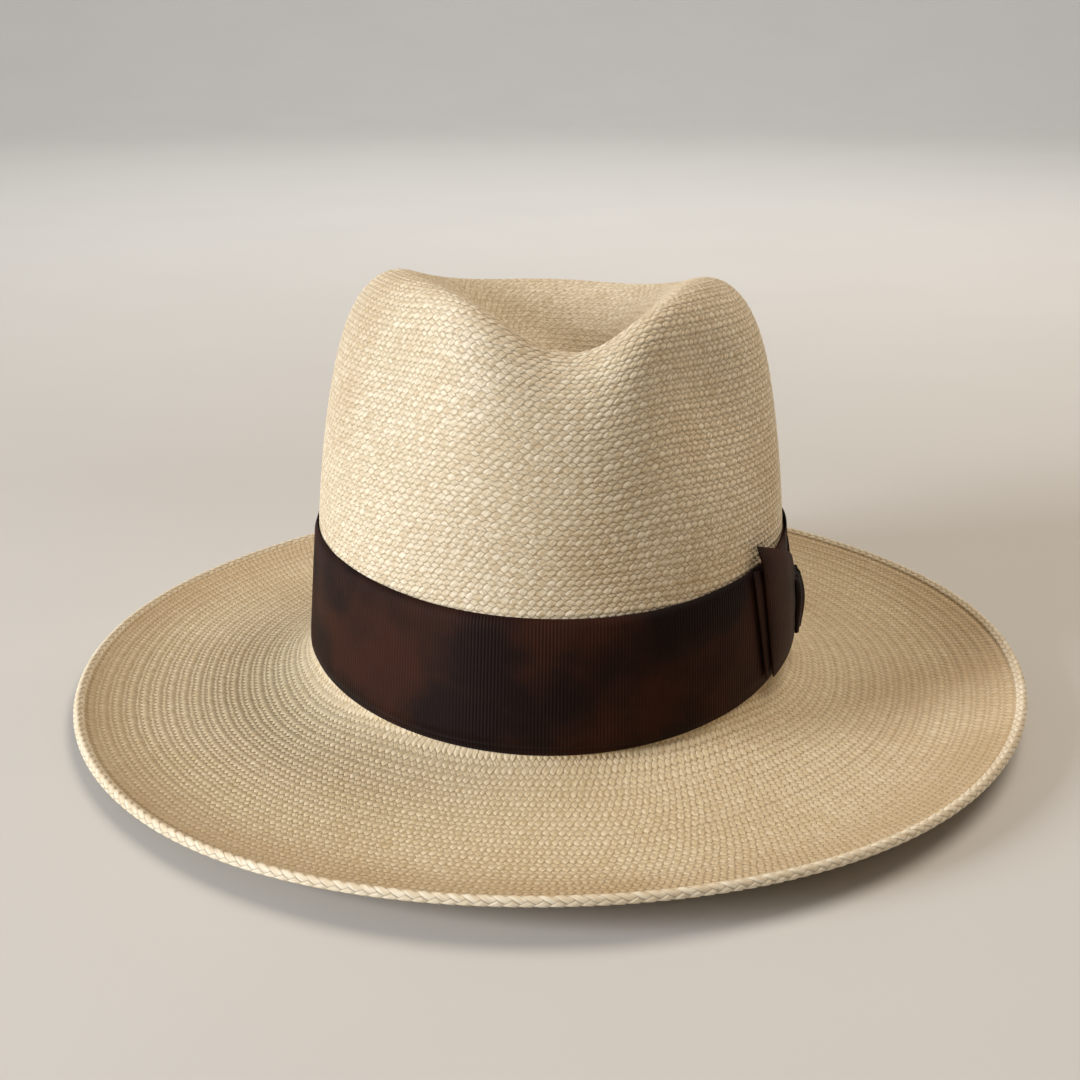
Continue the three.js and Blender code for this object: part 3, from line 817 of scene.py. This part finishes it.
def ribbon_ring(name, layer, foot, head, slack):
    """One turn of the ribbon round the crown; slack is how far its edges stray."""
    ribs = round(CROWN_GIRTH / RIB_PITCH)
    angles = ring_angles(ribs * RIB_STEPS)
    rise = np.linspace(0, 1, 15)[None, :] + 0 * angles[:, None]
    angle = angles[:, None]
    stray = slack * (np.sin(3 * angle + 1) + 0.5 * np.sin(7 * angle))
    heights = mix(foot + stray * FOOT_STRAYS, head + stray, rise)
    inner = layer_offset(layer) + 0 * rise
    ribs_here = rib_relief(angle / (2 * math.pi) * ribs * RIB_PITCH)
    swell = RIBBON_SWELL * np.sin(math.pi * rise) * np.sin(4 * angle + 2) ** 2
    outer = inner + RIBBON_THICKNESS + ribs_here + selvedge(rise) + swell
    tuck = (inner - LAYER_GAP) * ease(heights, (RIBBON_WIDTH - UNDERLAY_SHOWS + 0.3, RIBBON_WIDTH))
    sections = strip_sections(angles, heights, inner - tuck, outer - tuck)
    scale = ribs * RIB_PITCH / swept_length(sections, True)
    return sweep(name, sections, True, scale)


def swept_length(sections, ring):
    """Mean length of the lines that join the sections."""
    rows = np.concatenate([sections, sections[:1]]) if ring else sections
    return np.linalg.norm(np.diff(rows, axis=0), axis=2).mean(axis=1).sum()


def bow_angle(distance):
    """Angle round the hat at a distance from the knot; positive is to the rear."""
    return math.radians(BOW_ANGLE) + distance / CROWN_HALF_WIDTH


UNDER_LOOP_OFFSET = layer_offset(3)
UPPER_LOOP_OFFSET = UNDER_LOOP_OFFSET + 2 * RIBBON_THICKNESS + UNDER_LOOP_PUFF + LAYER_GAP
FRONT_PUFF = BOW_PUFF + UNDER_LOOP_OFFSET - UPPER_LOOP_OFFSET


def loop_point(side, out, rise, offset, reach_scale, head_drop):
    """A place on a loop: out runs from 0 at the knot to 1 at the fold, rise from foot to head."""
    foot = mix(BOW_NARROW_FOOT, UNDERLAY_SHOWS + 1.5, out)
    tip = RIBBON_WIDTH + BOW_RISE - head_drop
    head = mix(BOW_NARROW_HEAD, tip, np.maximum(out, 0) ** BOW_HEAD_FALL)
    reach = mix(BOW_FOOT_REACH, BOW_REACH, rise) * reach_scale
    distance = side * (KNOT_WIDTH / 4 + out * reach)
    height = mix(foot, head, rise)
    return wall_point(bow_angle(distance), height, offset - BOW_LEAN_IN * ease(height, BOW_LEANS))


def bow_loop(name, side, inner_offset, puff, reach_scale, head_drop):
    """A folded loop: the ribbon runs out from the knot, turns over and runs back under."""
    length = 2 * BOW_REACH * reach_scale
    path = np.linspace(0, 2, round(length / RIB_PITCH * RIB_STEPS))
    rise = np.linspace(0, 1, 11)
    path, rise = np.meshgrid(path, rise, indexing="ij")
    out = fold_out(path)
    swell = mix(BOW_GATHER, 1, ease(out, (0, 0.55)))
    full = puff * swell * np.sqrt(np.maximum(1 - out**6, 0)) * mix(0.3, 1, np.sin(math.pi * rise))
    gathers = PLEAT * np.cos(rise * 5 * math.pi) * (1 - ease(out, (0, 0.5))) * swell
    upper = inner_offset + RIBBON_THICKNESS * 1.5 + full + gathers
    lower = inner_offset + RIBBON_THICKNESS / 2
    middle = mix(upper, lower, ease(path, (1 - FOLD_SHARE, 1 + FOLD_SHARE)))
    half = RIBBON_THICKNESS / 2
    face = half + rib_relief(path * length / 2) + selvedge(rise)
    on_top = np.where(path < 1, 1, -1)
    front = loop_point(side, out, rise, middle + on_top * face, reach_scale, head_drop)
    back = loop_point(side, out, rise, middle - on_top * half, reach_scale, head_drop)
    sections = np.concatenate([front, back[:, ::-1]], axis=1)
    return sweep(name, sections, False, length / swept_length(sections, False))


def fold_out(path):
    """How far out a loop's ribbon is: out to 1 and back, rounded at the fold."""
    return 1 - np.sqrt((path - 1) ** 2 + FOLD_SHARE**2) + FOLD_SHARE * (1 - np.abs(path - 1))


def bow_backing():
    """The flat piece that the bow is sewn to."""
    reach = BOW_FOOT_REACH + BOW_BACKING_SPARE
    count = round(2 * reach / RIB_PITCH * RIB_STEPS)
    distance = np.linspace(-reach, reach, count)
    rise = np.linspace(0, 1, 11)[None, :] + 0 * distance[:, None]
    heights = mix(UNDERLAY_SHOWS + 1, RIBBON_WIDTH + 1.2, rise)
    inner = layer_offset(2) + 0 * rise
    outer = inner + RIBBON_THICKNESS + rib_relief(distance)[:, None] + selvedge(rise)
    sections = strip_sections(bow_angle(distance), heights, inner, outer)
    return sweep("bow_backing_ribbon", sections, False)


def bow_knot():
    """The short turn of ribbon that gathers the loops, creased along its length."""
    inner = UPPER_LOOP_OFFSET + 2 * RIBBON_THICKNESS + FRONT_PUFF * BOW_GATHER + LAYER_GAP
    rise = np.linspace(0, 1, round(KNOT_HEIGHT / RIB_PITCH * RIB_STEPS))[:, None]
    across = np.linspace(-1, 1, 33)[None, :]
    belly = np.sin(math.pi * rise**KNOT_RISE)
    half = KNOT_WIDTH / 2 - KNOT_WAIST * belly
    arch = np.sqrt(np.maximum(1 - across**2, 0.05)) * mix(0.45, 1, belly)
    creases = CREASE * np.cos(across * 7 + 0.8 * np.sin(rise * 5)) * (1 - across**4)
    ribs = rib_relief(rise * KNOT_HEIGHT)
    outer = inner + KNOT_THICKNESS * arch + creases + ribs
    angle = bow_angle(across * half)
    height = KNOT_FOOT + KNOT_HEIGHT * rise + 0 * across
    front = wall_point(angle, height, outer)
    back = wall_point(angle, height, inner - KNOT_HUG + 0 * outer)[:, ::-1]
    return sweep("bow_knot_ribbon", np.concatenate([front, back], axis=1), False)


# ---- Inside the crown ----

WELT_OFFSET = -(STRAW + LAYER_GAP)
LEATHER_OFFSET = WELT_OFFSET - WELT_THICKNESS - LAYER_GAP


def leather_offset(height):
    """The sweatband's outer face leans inwards towards its top edge."""
    return LEATHER_OFFSET - SWEATBAND_LEAN * height / SWEATBAND_HEIGHT


def inner_angle(distance):
    """Angle at a distance from the join at the back; positive is to the wearer's right."""
    return math.pi / 2 + distance / CROWN_HALF_WIDTH


def leather_strip(angles, heights, depth, thickness):
    face = leather_offset(heights) - depth
    return strip_sections(angles, heights, face - thickness, face)


def sweatband():
    angles = ring_angles(360)
    heights = np.linspace(LEATHER_FOOT, SWEATBAND_HEIGHT, 19)[None, :] + 0 * angles[:, None]
    ripple = 0.1 * np.sin(9 * angles)[:, None] * (heights / SWEATBAND_HEIGHT) ** 2
    return sweep("leather_sweatband", leather_strip(angles, heights, ripple, LEATHER), True)


def welt():
    angles = ring_angles(360)
    heights = np.linspace(LEATHER_FOOT, WELT_HEIGHT, 5)[None, :] + 0 * angles[:, None]
    outer = WELT_OFFSET + 0 * heights
    return sweep("welt_tape", strip_sections(angles, heights, outer - WELT_THICKNESS, outer), True)


def round_ring(name, height, offset, radius, count, sides):
    """A round cord that follows the inside of the wall."""
    angles = ring_angles(count)
    turn = ring_angles(sides)[None, :]
    heights = height + radius * np.sin(turn) + 0 * angles[:, None]
    offsets = offset + radius * np.cos(turn) + 0 * angles[:, None]
    return sweep(name, wall_point(angles[:, None], heights, offsets), True)


def reed():
    radius = REED_DIAMETER / 2
    height = LEATHER_FOOT - LAYER_GAP - radius
    return round_ring("reed_cord", height, LEATHER_OFFSET - LEATHER / 2, radius, 360, 12)


def seam_thread():
    """A row of stitches that rise from the leather and dip back into it."""
    stitches = round(CROWN_GIRTH / STITCH_PITCH)
    angles = ring_angles(stitches * 8)[:, None]
    turn = ring_angles(8)[None, :]
    radius = THREAD_DIAMETER / 2
    dip = 0.55 * THREAD_DIAMETER * (1 - np.abs(np.sin(angles * stitches / 2)) ** 0.5)
    offsets = leather_offset(THREAD_LEVEL) - LEATHER - LAYER_GAP / 2 - radius + dip
    heights = THREAD_LEVEL + radius * np.sin(turn) + 0 * angles
    places = wall_point(angles, heights, offsets + radius * np.cos(turn))
    return sweep("sweatband_stitches", places, True)


def patch(name, distance, foot, head, rows, thickness):
    """A flat piece that lies on the leather's inner face."""
    heights = np.linspace(foot, head, rows)[None, :] + 0 * distance[:, None]
    sections = leather_strip(inner_angle(distance), heights, LEATHER + LAYER_GAP, thickness)
    return sweep(name, sections, False)


def join_tape():
    distance = np.linspace(-1, 1, 41) * JOIN_TAPE_WIDTH / 2
    ends = (JOIN_TAPE_FOOT, JOIN_TAPE_HEAD)
    return patch("join_tape_strip", distance, *ends, 21, JOIN_TAPE_THICKNESS)


def size_tab():
    distance = SIZE_TAB_ASIDE + np.linspace(-1, 1, 21) * SIZE_TAB_WIDTH / 2
    ends = (SIZE_TAB_FOOT, SIZE_TAB_FOOT + SIZE_TAB_HEIGHT)
    return patch("blank_size_tab", distance, *ends, 11, SIZE_TAB_THICKNESS)


REAR_BOW_DEPTH = LEATHER + LAYER_GAP + JOIN_TAPE_THICKNESS + LAYER_GAP


def rear_bow_loop(name, side):
    out = np.linspace(0, 1, 25)[:, None]
    rise = np.linspace(-1, 1, 11)[None, :]
    half_height = mix(*REAR_LOOP_GROWS, ease(out, (0, 0.7)))
    start = REAR_KNOT_WIDTH / 2 + LAYER_GAP
    swell = 1.0 + 1.2 * np.sqrt(np.maximum(1 - (2 * out - 1) ** 2, 0)) * (1 - 0.5 * rise**2)
    distance = side * (start + out * REAR_BOW_REACH)
    heights = REAR_BOW_LEVEL + rise * half_height
    sections = leather_strip(inner_angle(distance[:, 0]), heights, REAR_BOW_DEPTH, swell)
    return sweep(name, sections, False)


def rear_bow_knot():
    across = np.linspace(-1, 1, 13)[:, None]
    rise = np.linspace(-1, 1, 9)[None, :] + 0 * across
    heights = REAR_BOW_LEVEL + rise * REAR_KNOT_HEIGHT / 2
    swell = (1.6 + 1.2 * np.cos(across * 1.2)) * (1 - 0.25 * rise**4)
    angles = inner_angle(across[:, 0] * REAR_KNOT_WIDTH / 2)
    sections = leather_strip(angles, heights, REAR_BOW_DEPTH, swell)
    return sweep("rear_bow_knot_ribbon", sections, False)


# ---- Materials ----

UNIFORM_INPUTS = {
    "specular": "Specular IOR Level",
    "sheen": "Sheen Weight",
    "sheen_roughness": "Sheen Roughness",
}


class Nodes:
    """Adds shader nodes to a new material; inputs are sockets, numbers or colours."""

    def __init__(self, name):
        self.material = bpy.data.materials.new(name)
        self.material.use_nodes = True
        self.tree = self.material.node_tree
        self.shader = self.tree.nodes["Principled BSDF"]

    def put(self, socket, value):
        if isinstance(value, bpy.types.NodeSocket):
            self.tree.links.new(value, socket)
        else:
            socket.default_value = value

    def add(self, kind, inputs=(), **settings):
        node = self.tree.nodes.new(kind)
        for key, value in settings.items():
            setattr(node, key, value)
        for key, value in dict(inputs).items():
            self.put(node.inputs[key], value)
        return node

    def math(self, operation, *values):
        return self.add("ShaderNodeMath", enumerate(values), operation=operation).outputs[0]

    def plus(self, first, second):
        return self.math("ADD", first, second)

    def minus(self, first, second):
        return self.math("SUBTRACT", first, second)

    def times(self, first, second):
        return self.math("MULTIPLY", first, second)

    def mix(self, share, low, high):
        """The way from one colour to another."""
        node = self.add("ShaderNodeMix", data_type="RGBA")
        self.put(node.inputs["Factor"], share)
        self.put(node.inputs["A"], low)
        self.put(node.inputs["B"], high)
        return node.outputs["Result"]

    def blend(self, share, low, high):
        """The same for plain numbers."""
        return self.plus(low, self.times(share, self.minus(high, low)))

    def total(self, *parts):
        """Sum of sockets, each times its weight."""
        whole = 0.0
        for part, weight in parts:
            whole = self.plus(whole, self.times(part, weight))
        return whole

    def ramp(self, value, low, high):
        """0 below low, 1 above high, smooth between."""
        inputs = {"Value": value, "From Min": low, "From Max": high}
        return self.add("ShaderNodeMapRange", inputs, interpolation_type="SMOOTHSTEP").outputs[0]

    def noise(self, place, scale, detail=2.0, stretch=(1, 1, 1)):
        if stretch != (1, 1, 1):
            inputs = {"Vector": place, "Scale": stretch}
            place = self.add("ShaderNodeMapping", inputs).outputs[0]
        inputs = {"Vector": place, "Scale": scale, "Detail": detail}
        return self.add("ShaderNodeTexNoise", inputs).outputs[0]

    def vector(self, x, y, z=0.0):
        return self.add("ShaderNodeCombineXYZ", {"X": x, "Y": y, "Z": z}).outputs[0]

    def random(self, first, second):
        inputs = {"Vector": self.vector(first, second)}
        return self.add("ShaderNodeTexWhiteNoise", inputs).outputs["Value"]

    def place(self):
        return self.add("ShaderNodeTexCoord").outputs["Object"]

    def along(self):
        """The two coordinates of the map that follows the strands or the ribbon."""
        found = self.add("ShaderNodeUVMap", uv_map="along").outputs[0]
        apart = self.add("ShaderNodeSeparateXYZ", {"Vector": found})
        return apart.outputs[0], apart.outputs[1]

    def bump(self, height):
        """Fine relief from a height in millimetres."""
        inputs = {"Height": height, "Distance": MM, "Strength": 1.0}
        self.put(self.shader.inputs["Normal"], self.add("ShaderNodeBump", inputs).outputs[0])

    def finish(self, shade, roughness, **uniform):
        """Sets the colour, which may be a socket, and uniform values straight on the shader."""
        self.put(self.shader.inputs["Base Color"], shade)
        self.put(self.shader.inputs["Roughness"], roughness)
        for name, value in uniform.items():
            self.shader.inputs[UNIFORM_INPUTS[name]].default_value = value
        return self.material


def colour(red, green, blue):
    return (red, green, blue, 1.0)


STAIN = colour(0.50, 0.34, 0.18)
PALE_STRAW = colour(0.86, 0.755, 0.575)
TAN_STRAW = colour(0.62, 0.485, 0.305)
AGED_STRAW = colour(0.66, 0.50, 0.26)  # the brim is handled more, and yellower
PALE_EDGE = colour(0.88, 0.79, 0.62)
TAN_EDGE = colour(0.74, 0.61, 0.42)
# Painted shade for the low parts of the weave, where a strand dips under its neighbours
LOW_WEAVE_PAINTED_SHADE = colour(0.36, 0.25, 0.13)
# Painted shade in the gaps where strands part and at the ends of floats, and how strong it is
GAP_PAINTED_SHADE = colour(0.09, 0.045, 0.02)
GAP_SHADE_STRENGTH = 0.35
RIM_STAINS = 1.9  # times as strong as the patches of stain

# The strand on top: its height, its round profile, how far it is from its float's ends, the
# place across and along it, and the numbers of the strand and of its float.
Strand = namedtuple("Strand", "height profile level across run number float_number")


def strand_nodes(nodes, phase, across, skew, proud):
    """Height of one family of strands, its round profile, and how far it is from the ends
    of its floats, as in weave_height."""
    turn = nodes.times(phase, math.pi / 2)
    level = nodes.math("COSINE", turn)
    wave = nodes.math("COSINE", nodes.plus(turn, nodes.times(level, skew)))
    size = nodes.math("POWER", nodes.math("ABSOLUTE", wave), FLOAT_FLATNESS)
    over = nodes.times(nodes.math("SIGN", wave), size)
    from_middle = nodes.math("ABSOLUTE", nodes.minus(nodes.times(across, 2), 1))
    profile = nodes.minus(1, nodes.math("POWER", from_middle, FLATNESS))
    height = nodes.plus(nodes.times(over, STRAND_WAVE), nodes.times(profile, STRAND_ROUND))
    return nodes.plus(height, proud), profile, level


def top_strand(nodes, turn, row):
    """The strand on top at a place of the lattice, which is the mesh's own lattice."""
    a = nodes.minus(turn, row)
    b = nodes.plus(turn, row)
    strand_a = nodes.math("FLOOR", a)
    strand_b = nodes.math("FLOOR", b)
    phase_a = nodes.minus(strand_a, b)
    phase_b = nodes.minus(nodes.minus(a, strand_b), 3)
    across_a = nodes.math("FRACT", a)
    across_b = nodes.math("FRACT", b)
    float_a = nodes.math("ROUND", nodes.math("DIVIDE", phase_a, 4))
    float_b = nodes.math("ROUND", nodes.math("DIVIDE", phase_b, 4))
    family_a = strand_nodes(nodes, phase_a, across_a, SKEW_A, 0)
    family_b = strand_nodes(nodes, phase_b, across_b, SKEW_B, B_PROUD)
    apart = nodes.plus(strand_b, 1000.5)  # so that no two strands share a number
    step = nodes.math("FLOORED_MODULO", nodes.minus(strand_a, strand_b), 4)
    a_on_top = nodes.math("LESS_THAN", step, 1.5)
    ways_a = (*family_a, across_a, b, strand_a, float_a)
    ways_b = (*family_b, across_b, a, apart, float_b)
    return Strand(*(nodes.blend(a_on_top, low, high) for low, high in zip(ways_b, ways_a)))


def straw_stains(nodes, shade, row, mottle, stains):
    """Patches of old staining, and more of it along the rim."""
    patches = nodes.ramp(nodes.noise(nodes.place(), 11.0, 4.0), 0.5, 0.72)
    shade = nodes.mix(nodes.times(patches, stains), shade, STAIN)
    rim = nodes.ramp(row, ALL_ROWS - 12, ALL_ROWS - 3)
    rim = nodes.times(rim, nodes.blend(mottle, 0.3, 0.9))
    return nodes.mix(nodes.times(rim, stains * RIM_STAINS), shade, STAIN)


def straw_material(name, pale, tan, stains):
    """Split straw in a 2/2 twill, toned strand by strand, with painted shade where strands part
    and where they lie low.
    """
    nodes = Nodes(name)
    turn, row = nodes.along()
    top = top_strand(nodes, turn, row)
    strand_tone = nodes.random(top.number, 7.0)
    float_tone = nodes.random(top.number, top.float_number)
    fibre_place = nodes.vector(nodes.times(top.across, 4), nodes.times(top.run, 0.4), top.number)
    fibres = nodes.noise(fibre_place, 1.0, 3.0)
    mottle = nodes.noise(nodes.place(), 20.0, 4.0)
    streaks = nodes.ramp(fibres, 0.35, 0.68)
    tone = nodes.total((strand_tone, 0.15), (float_tone, 0.1), (streaks, 0.6), (mottle, 0.65))
    shade = nodes.mix(nodes.ramp(tone, 0.3, 1.1), pale, tan)
    aged = nodes.ramp(row, CROWN_ROWS - 4, CROWN_ROWS + 4)
    shade = nodes.mix(nodes.times(aged, stains), shade, AGED_STRAW)
    shade = straw_stains(nodes, shade, row, mottle, stains)
    # Painted shade: the weave is coloured darker where the strand on top lies low
    raised = nodes.ramp(top.height, 0.0, 0.3)
    shade = nodes.mix(nodes.times(nodes.minus(1, raised), 0.6), shade, LOW_WEAVE_PAINTED_SHADE)
    # Painted shade in the gaps: at the ends of floats and along the edges of strands, more where
    # the weave lies low
    near_end = nodes.minus(1, nodes.ramp(top.level, 0.02, 0.2))
    near_edge = nodes.minus(1, nodes.ramp(top.profile, 0.2, 0.68))
    gap_shade = nodes.times(nodes.math("MAXIMUM", near_end, near_edge), nodes.blend(raised, 1.0, 0.6))
    shade = nodes.mix(nodes.times(gap_shade, GAP_SHADE_STRENGTH), shade, GAP_PAINTED_SHADE)
    groove = nodes.minus(1, gap_shade)
    nodes.bump(nodes.total((top.height, 0.6), (streaks, -0.09), (groove, 0.08)))
    return nodes.finish(shade, nodes.blend(fibres, 0.42, 0.62), specular=0.4)


DARK_RIBBON = colour(0.0095, 0.0034, 0.0028)
FADED_RIBBON = colour(0.05, 0.014, 0.0055)
# Painted shade for the valleys between the ribs
RIB_VALLEY_PAINTED_SHADE = colour(0.006, 0.003, 0.003)
THREAD_PITCH = 0.35  # of the ribbon's weave


def ribbon_material(name, dark, warm, pitch, rough, sheen):
    """Ribbed silk: fine ribs across it, faded in soft patches, with painted shade in the valleys
    between ribs.
    """
    nodes = Nodes(name)
    along, across = nodes.along()
    place = nodes.place()
    rib = nodes.math("ABSOLUTE", nodes.math("COSINE", nodes.times(along, math.pi / pitch)))
    weave = nodes.math("SINE", nodes.times(across, 2 * math.pi / THREAD_PITCH))
    patches = nodes.ramp(nodes.noise(place, 22.0, 4.0, (1, 1, 1.4)), 0.42, 0.66)
    marks = nodes.noise(place, 90.0, 4.0, (1, 1, 0.5))
    faded = nodes.times(patches, nodes.blend(marks, 0.4, 1.0))
    # Painted shade: darker in the valleys between ribs
    valley_shade = nodes.minus(1, nodes.ramp(rib, 0.0, 0.6))
    shade = nodes.mix(faded, dark, warm)
    shade = nodes.mix(nodes.times(valley_shade, 0.6), shade, RIB_VALLEY_PAINTED_SHADE)
    nodes.bump(nodes.total((rib, 0.09), (weave, 0.01)))
    return nodes.finish(shade, rough, specular=0.1, sheen=sheen, sheen_roughness=0.35)


def leather_material():
    """Tanned leather with a fine grain."""
    nodes = Nodes("leather")
    inputs = {"Vector": nodes.place(), "Scale": 900.0}
    grain = nodes.add("ShaderNodeTexVoronoi", inputs).outputs["Distance"]
    soft = nodes.noise(nodes.place(), 40.0, 4.0)
    dark, light = colour(0.17, 0.07, 0.03), colour(0.27, 0.125, 0.055)
    nodes.bump(nodes.times(grain, 0.06))
    shade = nodes.mix(nodes.ramp(soft, 0.35, 0.7), dark, light)
    return nodes.finish(shade, nodes.blend(soft, 0.4, 0.6), specular=0.45)


def cloth_material(name, low, high, threads):
    """Plain woven tape; threads to the millimetre."""
    nodes = Nodes(name)
    along, across = nodes.along()
    pitch = threads * math.pi
    warp = nodes.math("SINE", nodes.times(along, pitch))
    weft = nodes.math("SINE", nodes.times(across, pitch))
    woven = nodes.times(warp, weft)
    nodes.bump(nodes.times(woven, 0.04))
    shade = nodes.mix(nodes.noise(nodes.place(), 60.0), low, high)
    return nodes.finish(shade, nodes.blend(woven, 0.8, 0.85), sheen=0.2)


def cord_material(name, low, high, pitch):
    """Twisted or peeled strand: fine lines that lean along it, lighter on their crests and darker
    in the grooves between them as painted shade.
    """
    nodes = Nodes(name)
    along, across = nodes.along()
    lean = nodes.plus(nodes.math("DIVIDE", along, pitch), across)
    ply = nodes.math("SINE", nodes.times(lean, math.pi))
    nodes.bump(nodes.times(ply, 0.05))
    # Painted shade: darker in the grooves between plies, lighter on their crests
    shade = nodes.mix(nodes.ramp(ply, -1.0, 1.0), low, high)
    return nodes.finish(shade, nodes.blend(ply, 0.6, 0.65))


def floor_material():
    nodes = Nodes("floor")
    grain = nodes.noise(nodes.place(), 6.0, 3.0)
    shade = nodes.mix(grain, colour(0.62, 0.61, 0.59), colour(0.66, 0.65, 0.63))
    return nodes.finish(shade, nodes.blend(grain, 0.75, 0.8))


# ---- Placing the pieces ----

RIBBON_CUT = RIBBON_WIDTH - UNDERLAY_SHOWS  # width of the ribbon itself

# Node, side, distance from the straw, fullness, scale of its reach, and drop of its head.
LOOPS = (
    (
        "bow_under_loop", -1, UNDER_LOOP_OFFSET,
        UNDER_LOOP_PUFF, UNDER_LOOP_REACH, UNDER_LOOP_HEAD_DROP,
    ),
    ("bow_front_loop", -1, UPPER_LOOP_OFFSET, FRONT_PUFF, 1, 0),
    ("bow_rear_loop", 1, UNDER_LOOP_OFFSET, REAR_PUFF, REAR_REACH, REAR_HEAD_DROP),
)


def place_piece(piece, node, material):
    """Puts a finished piece in the part, in place of a node of the frame."""
    piece.data.materials.append(material)
    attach(piece, "root")
    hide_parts(node)
    return piece


def build_straw():
    straw = straw_material("straw", PALE_STRAW, TAN_STRAW, 0.35)
    edge = straw_material("plaited_straw", PALE_EDGE, TAN_EDGE, 0.15)
    place_piece(woven_straw(), "straw_body", straw)
    place_piece(plaited_edge(), "brim_edge_braid", edge)


def build_ribbon():
    ribbon = ribbon_material("ribbon", DARK_RIBBON, FADED_RIBBON, RIB_PITCH, 0.62, 0.05)

    def add(piece, node):
        place_piece(piece, node, ribbon)

    first = ribbon_ring("ribbon_first_turn", 0, LAYER_GAP, RIBBON_CUT, 0.0)
    add(first, "band_underlay")
    second = ribbon_ring("ribbon_second_turn", 1, UNDERLAY_SHOWS, RIBBON_WIDTH, 0.2)
    add(second, "hat_band")
    add(bow_backing(), "bow_backing")
    for node, side, offset, puff, reach, drop in LOOPS:
        loop = bow_loop(f"{node}_ribbon", side, offset, puff, reach, drop)
        add(loop, node)
    add(bow_knot(), "bow_knot")


def build_inside():
    satin = ribbon_material("small_ribbon", DARK_RIBBON, DARK_RIBBON, 0.5, 0.45, 0.2)
    tape = cloth_material("tape", colour(0.10, 0.05, 0.03), colour(0.14, 0.075, 0.05), 2.4)
    cotton = cloth_material("cotton", colour(0.50, 0.41, 0.27), colour(0.58, 0.49, 0.34), 2.8)
    paper = cloth_material("tab", colour(0.72, 0.69, 0.60), colour(0.80, 0.77, 0.69), 3.2)
    cane = cord_material("cane", colour(0.50, 0.40, 0.25), colour(0.60, 0.50, 0.34), 3.0)
    thread = cord_material("thread", colour(0.52, 0.43, 0.28), colour(0.62, 0.54, 0.38), 0.8)
    place_piece(sweatband(), "sweatband", leather_material())
    place_piece(welt(), "sweatband_welt", cotton)
    place_piece(reed(), "sweatband_reed", cane)
    place_piece(seam_thread(), "sweatband_seam_thread", thread)
    strip = place_piece(join_tape(), "sweatband_join_tape", tape)
    for name, side in (("rear_bow_left_loop", -1), ("rear_bow_right_loop", 1)):
        place_piece(rear_bow_loop(f"{name}_ribbon", side), name, satin)
    place_piece(rear_bow_knot(), "rear_bow_knot", satin)
    place_piece(size_tab(), "size_tab", paper)


# ---- Floor, light and camera: metres, degrees and watts ----

FLOOR_RADIUS = 2.6  # of the flat part
FLOOR_RISE = 2.4  # radius of the curve that carries it up into a wall
FLOOR_BEND = 85
FLOOR_RINGS = 25
FLOOR_SIDES = 96

SKY_TINT = (1.0, 0.9, 0.78, 1)
SKY_STRENGTH = 0.2

# Name, place, what it points at, size, power and tint.
LIGHTS = (
    ("window", (-1.65, -0.78, 0.6), (0, 0, 0.07), 0.8, 40, (0.93, 0.96, 1.0)),
    ("overhead", (0.75, 0.3, 1.75), (0.08, 0, 0), 1.3, 21.5, (1.0, 0.87, 0.72)),
    ("backdrop", (0, 0.8, 2.3), (0, 5, 1.3), 1.5, 70, (0.97, 0.98, 1.0)),
)

CAMERA_AIM = (-0.0033, 0.008, 0.048)
CAMERA_DISTANCE = 0.6004
CAMERA_ELEVATION = 18.7
CAMERA_LENS = 53.07  # millimetres, as the sensor's width is
CAMERA_SENSOR = 36


def add_floor():
    """A round floor that curves up into a wall all round, so that no edge shows."""
    bend = np.linspace(0, math.radians(FLOOR_BEND), FLOOR_RINGS)
    radius = np.concatenate([[FLOOR_RADIUS / 2], FLOOR_RADIUS + FLOOR_RISE * np.sin(bend)])
    height = np.concatenate([[0], FLOOR_RISE * (1 - np.cos(bend))])
    turn = ring_angles(FLOOR_SIDES)[None, :]
    across = radius[:, None]
    rings = point(across * np.cos(turn), across * np.sin(turn), height[:, None])
    row, column = grid_corners(len(radius), FLOOR_SIDES, True)
    middle = np.arange(FLOOR_SIDES)[None, :]
    faces = [row * FLOOR_SIDES + column % FLOOR_SIDES, middle]
    corners = [tuple(face) for block in faces for face in block.tolist()]
    mesh = bpy.data.meshes.new("floor")
    mesh.from_pydata(rings.reshape(-1, 3).tolist(), [], corners)
    mesh.polygons.foreach_set("use_smooth", np.ones(len(corners), bool))
    mesh.materials.append(floor_material())
    floor = add_object("floor", mesh)
    floor.location.z = cad_box[0].z


def add_lights():
    world = bpy.data.worlds.new("studio")
    world.use_nodes = True
    sky = world.node_tree.nodes["Background"]
    sky.inputs["Color"].default_value = SKY_TINT
    sky.inputs["Strength"].default_value = SKY_STRENGTH
    bpy.context.scene.world = world
    for name, place, aim, size, power, tint in LIGHTS:
        data = bpy.data.lights.new(name, "AREA")
        data.shape = "DISK"
        data.size = size
        data.energy = power
        data.color = tint
        light = add_object(name, data)
        light.location = place
        facing = Vector(aim) - Vector(place)
        light.rotation_euler = facing.to_track_quat("-Z", "Y").to_euler()


def add_camera():
    data = bpy.data.cameras.new("camera")
    data.lens = CAMERA_LENS
    data.sensor_width = CAMERA_SENSOR
    data.clip_start = 0.01
    camera = add_object("camera", data)
    tilt = math.radians(CAMERA_ELEVATION)
    back = Vector((0, -math.cos(tilt), math.sin(tilt)))
    camera.location = Vector(CAMERA_AIM) + CAMERA_DISTANCE * back
    camera.rotation_euler = (math.pi / 2 - tilt, 0, 0)
    bpy.context.scene.camera = camera


bpy.context.scene.view_settings.view_transform = "Standard"
add_camera()
add_floor()
add_lights()
build_straw()
build_ribbon()
build_inside()
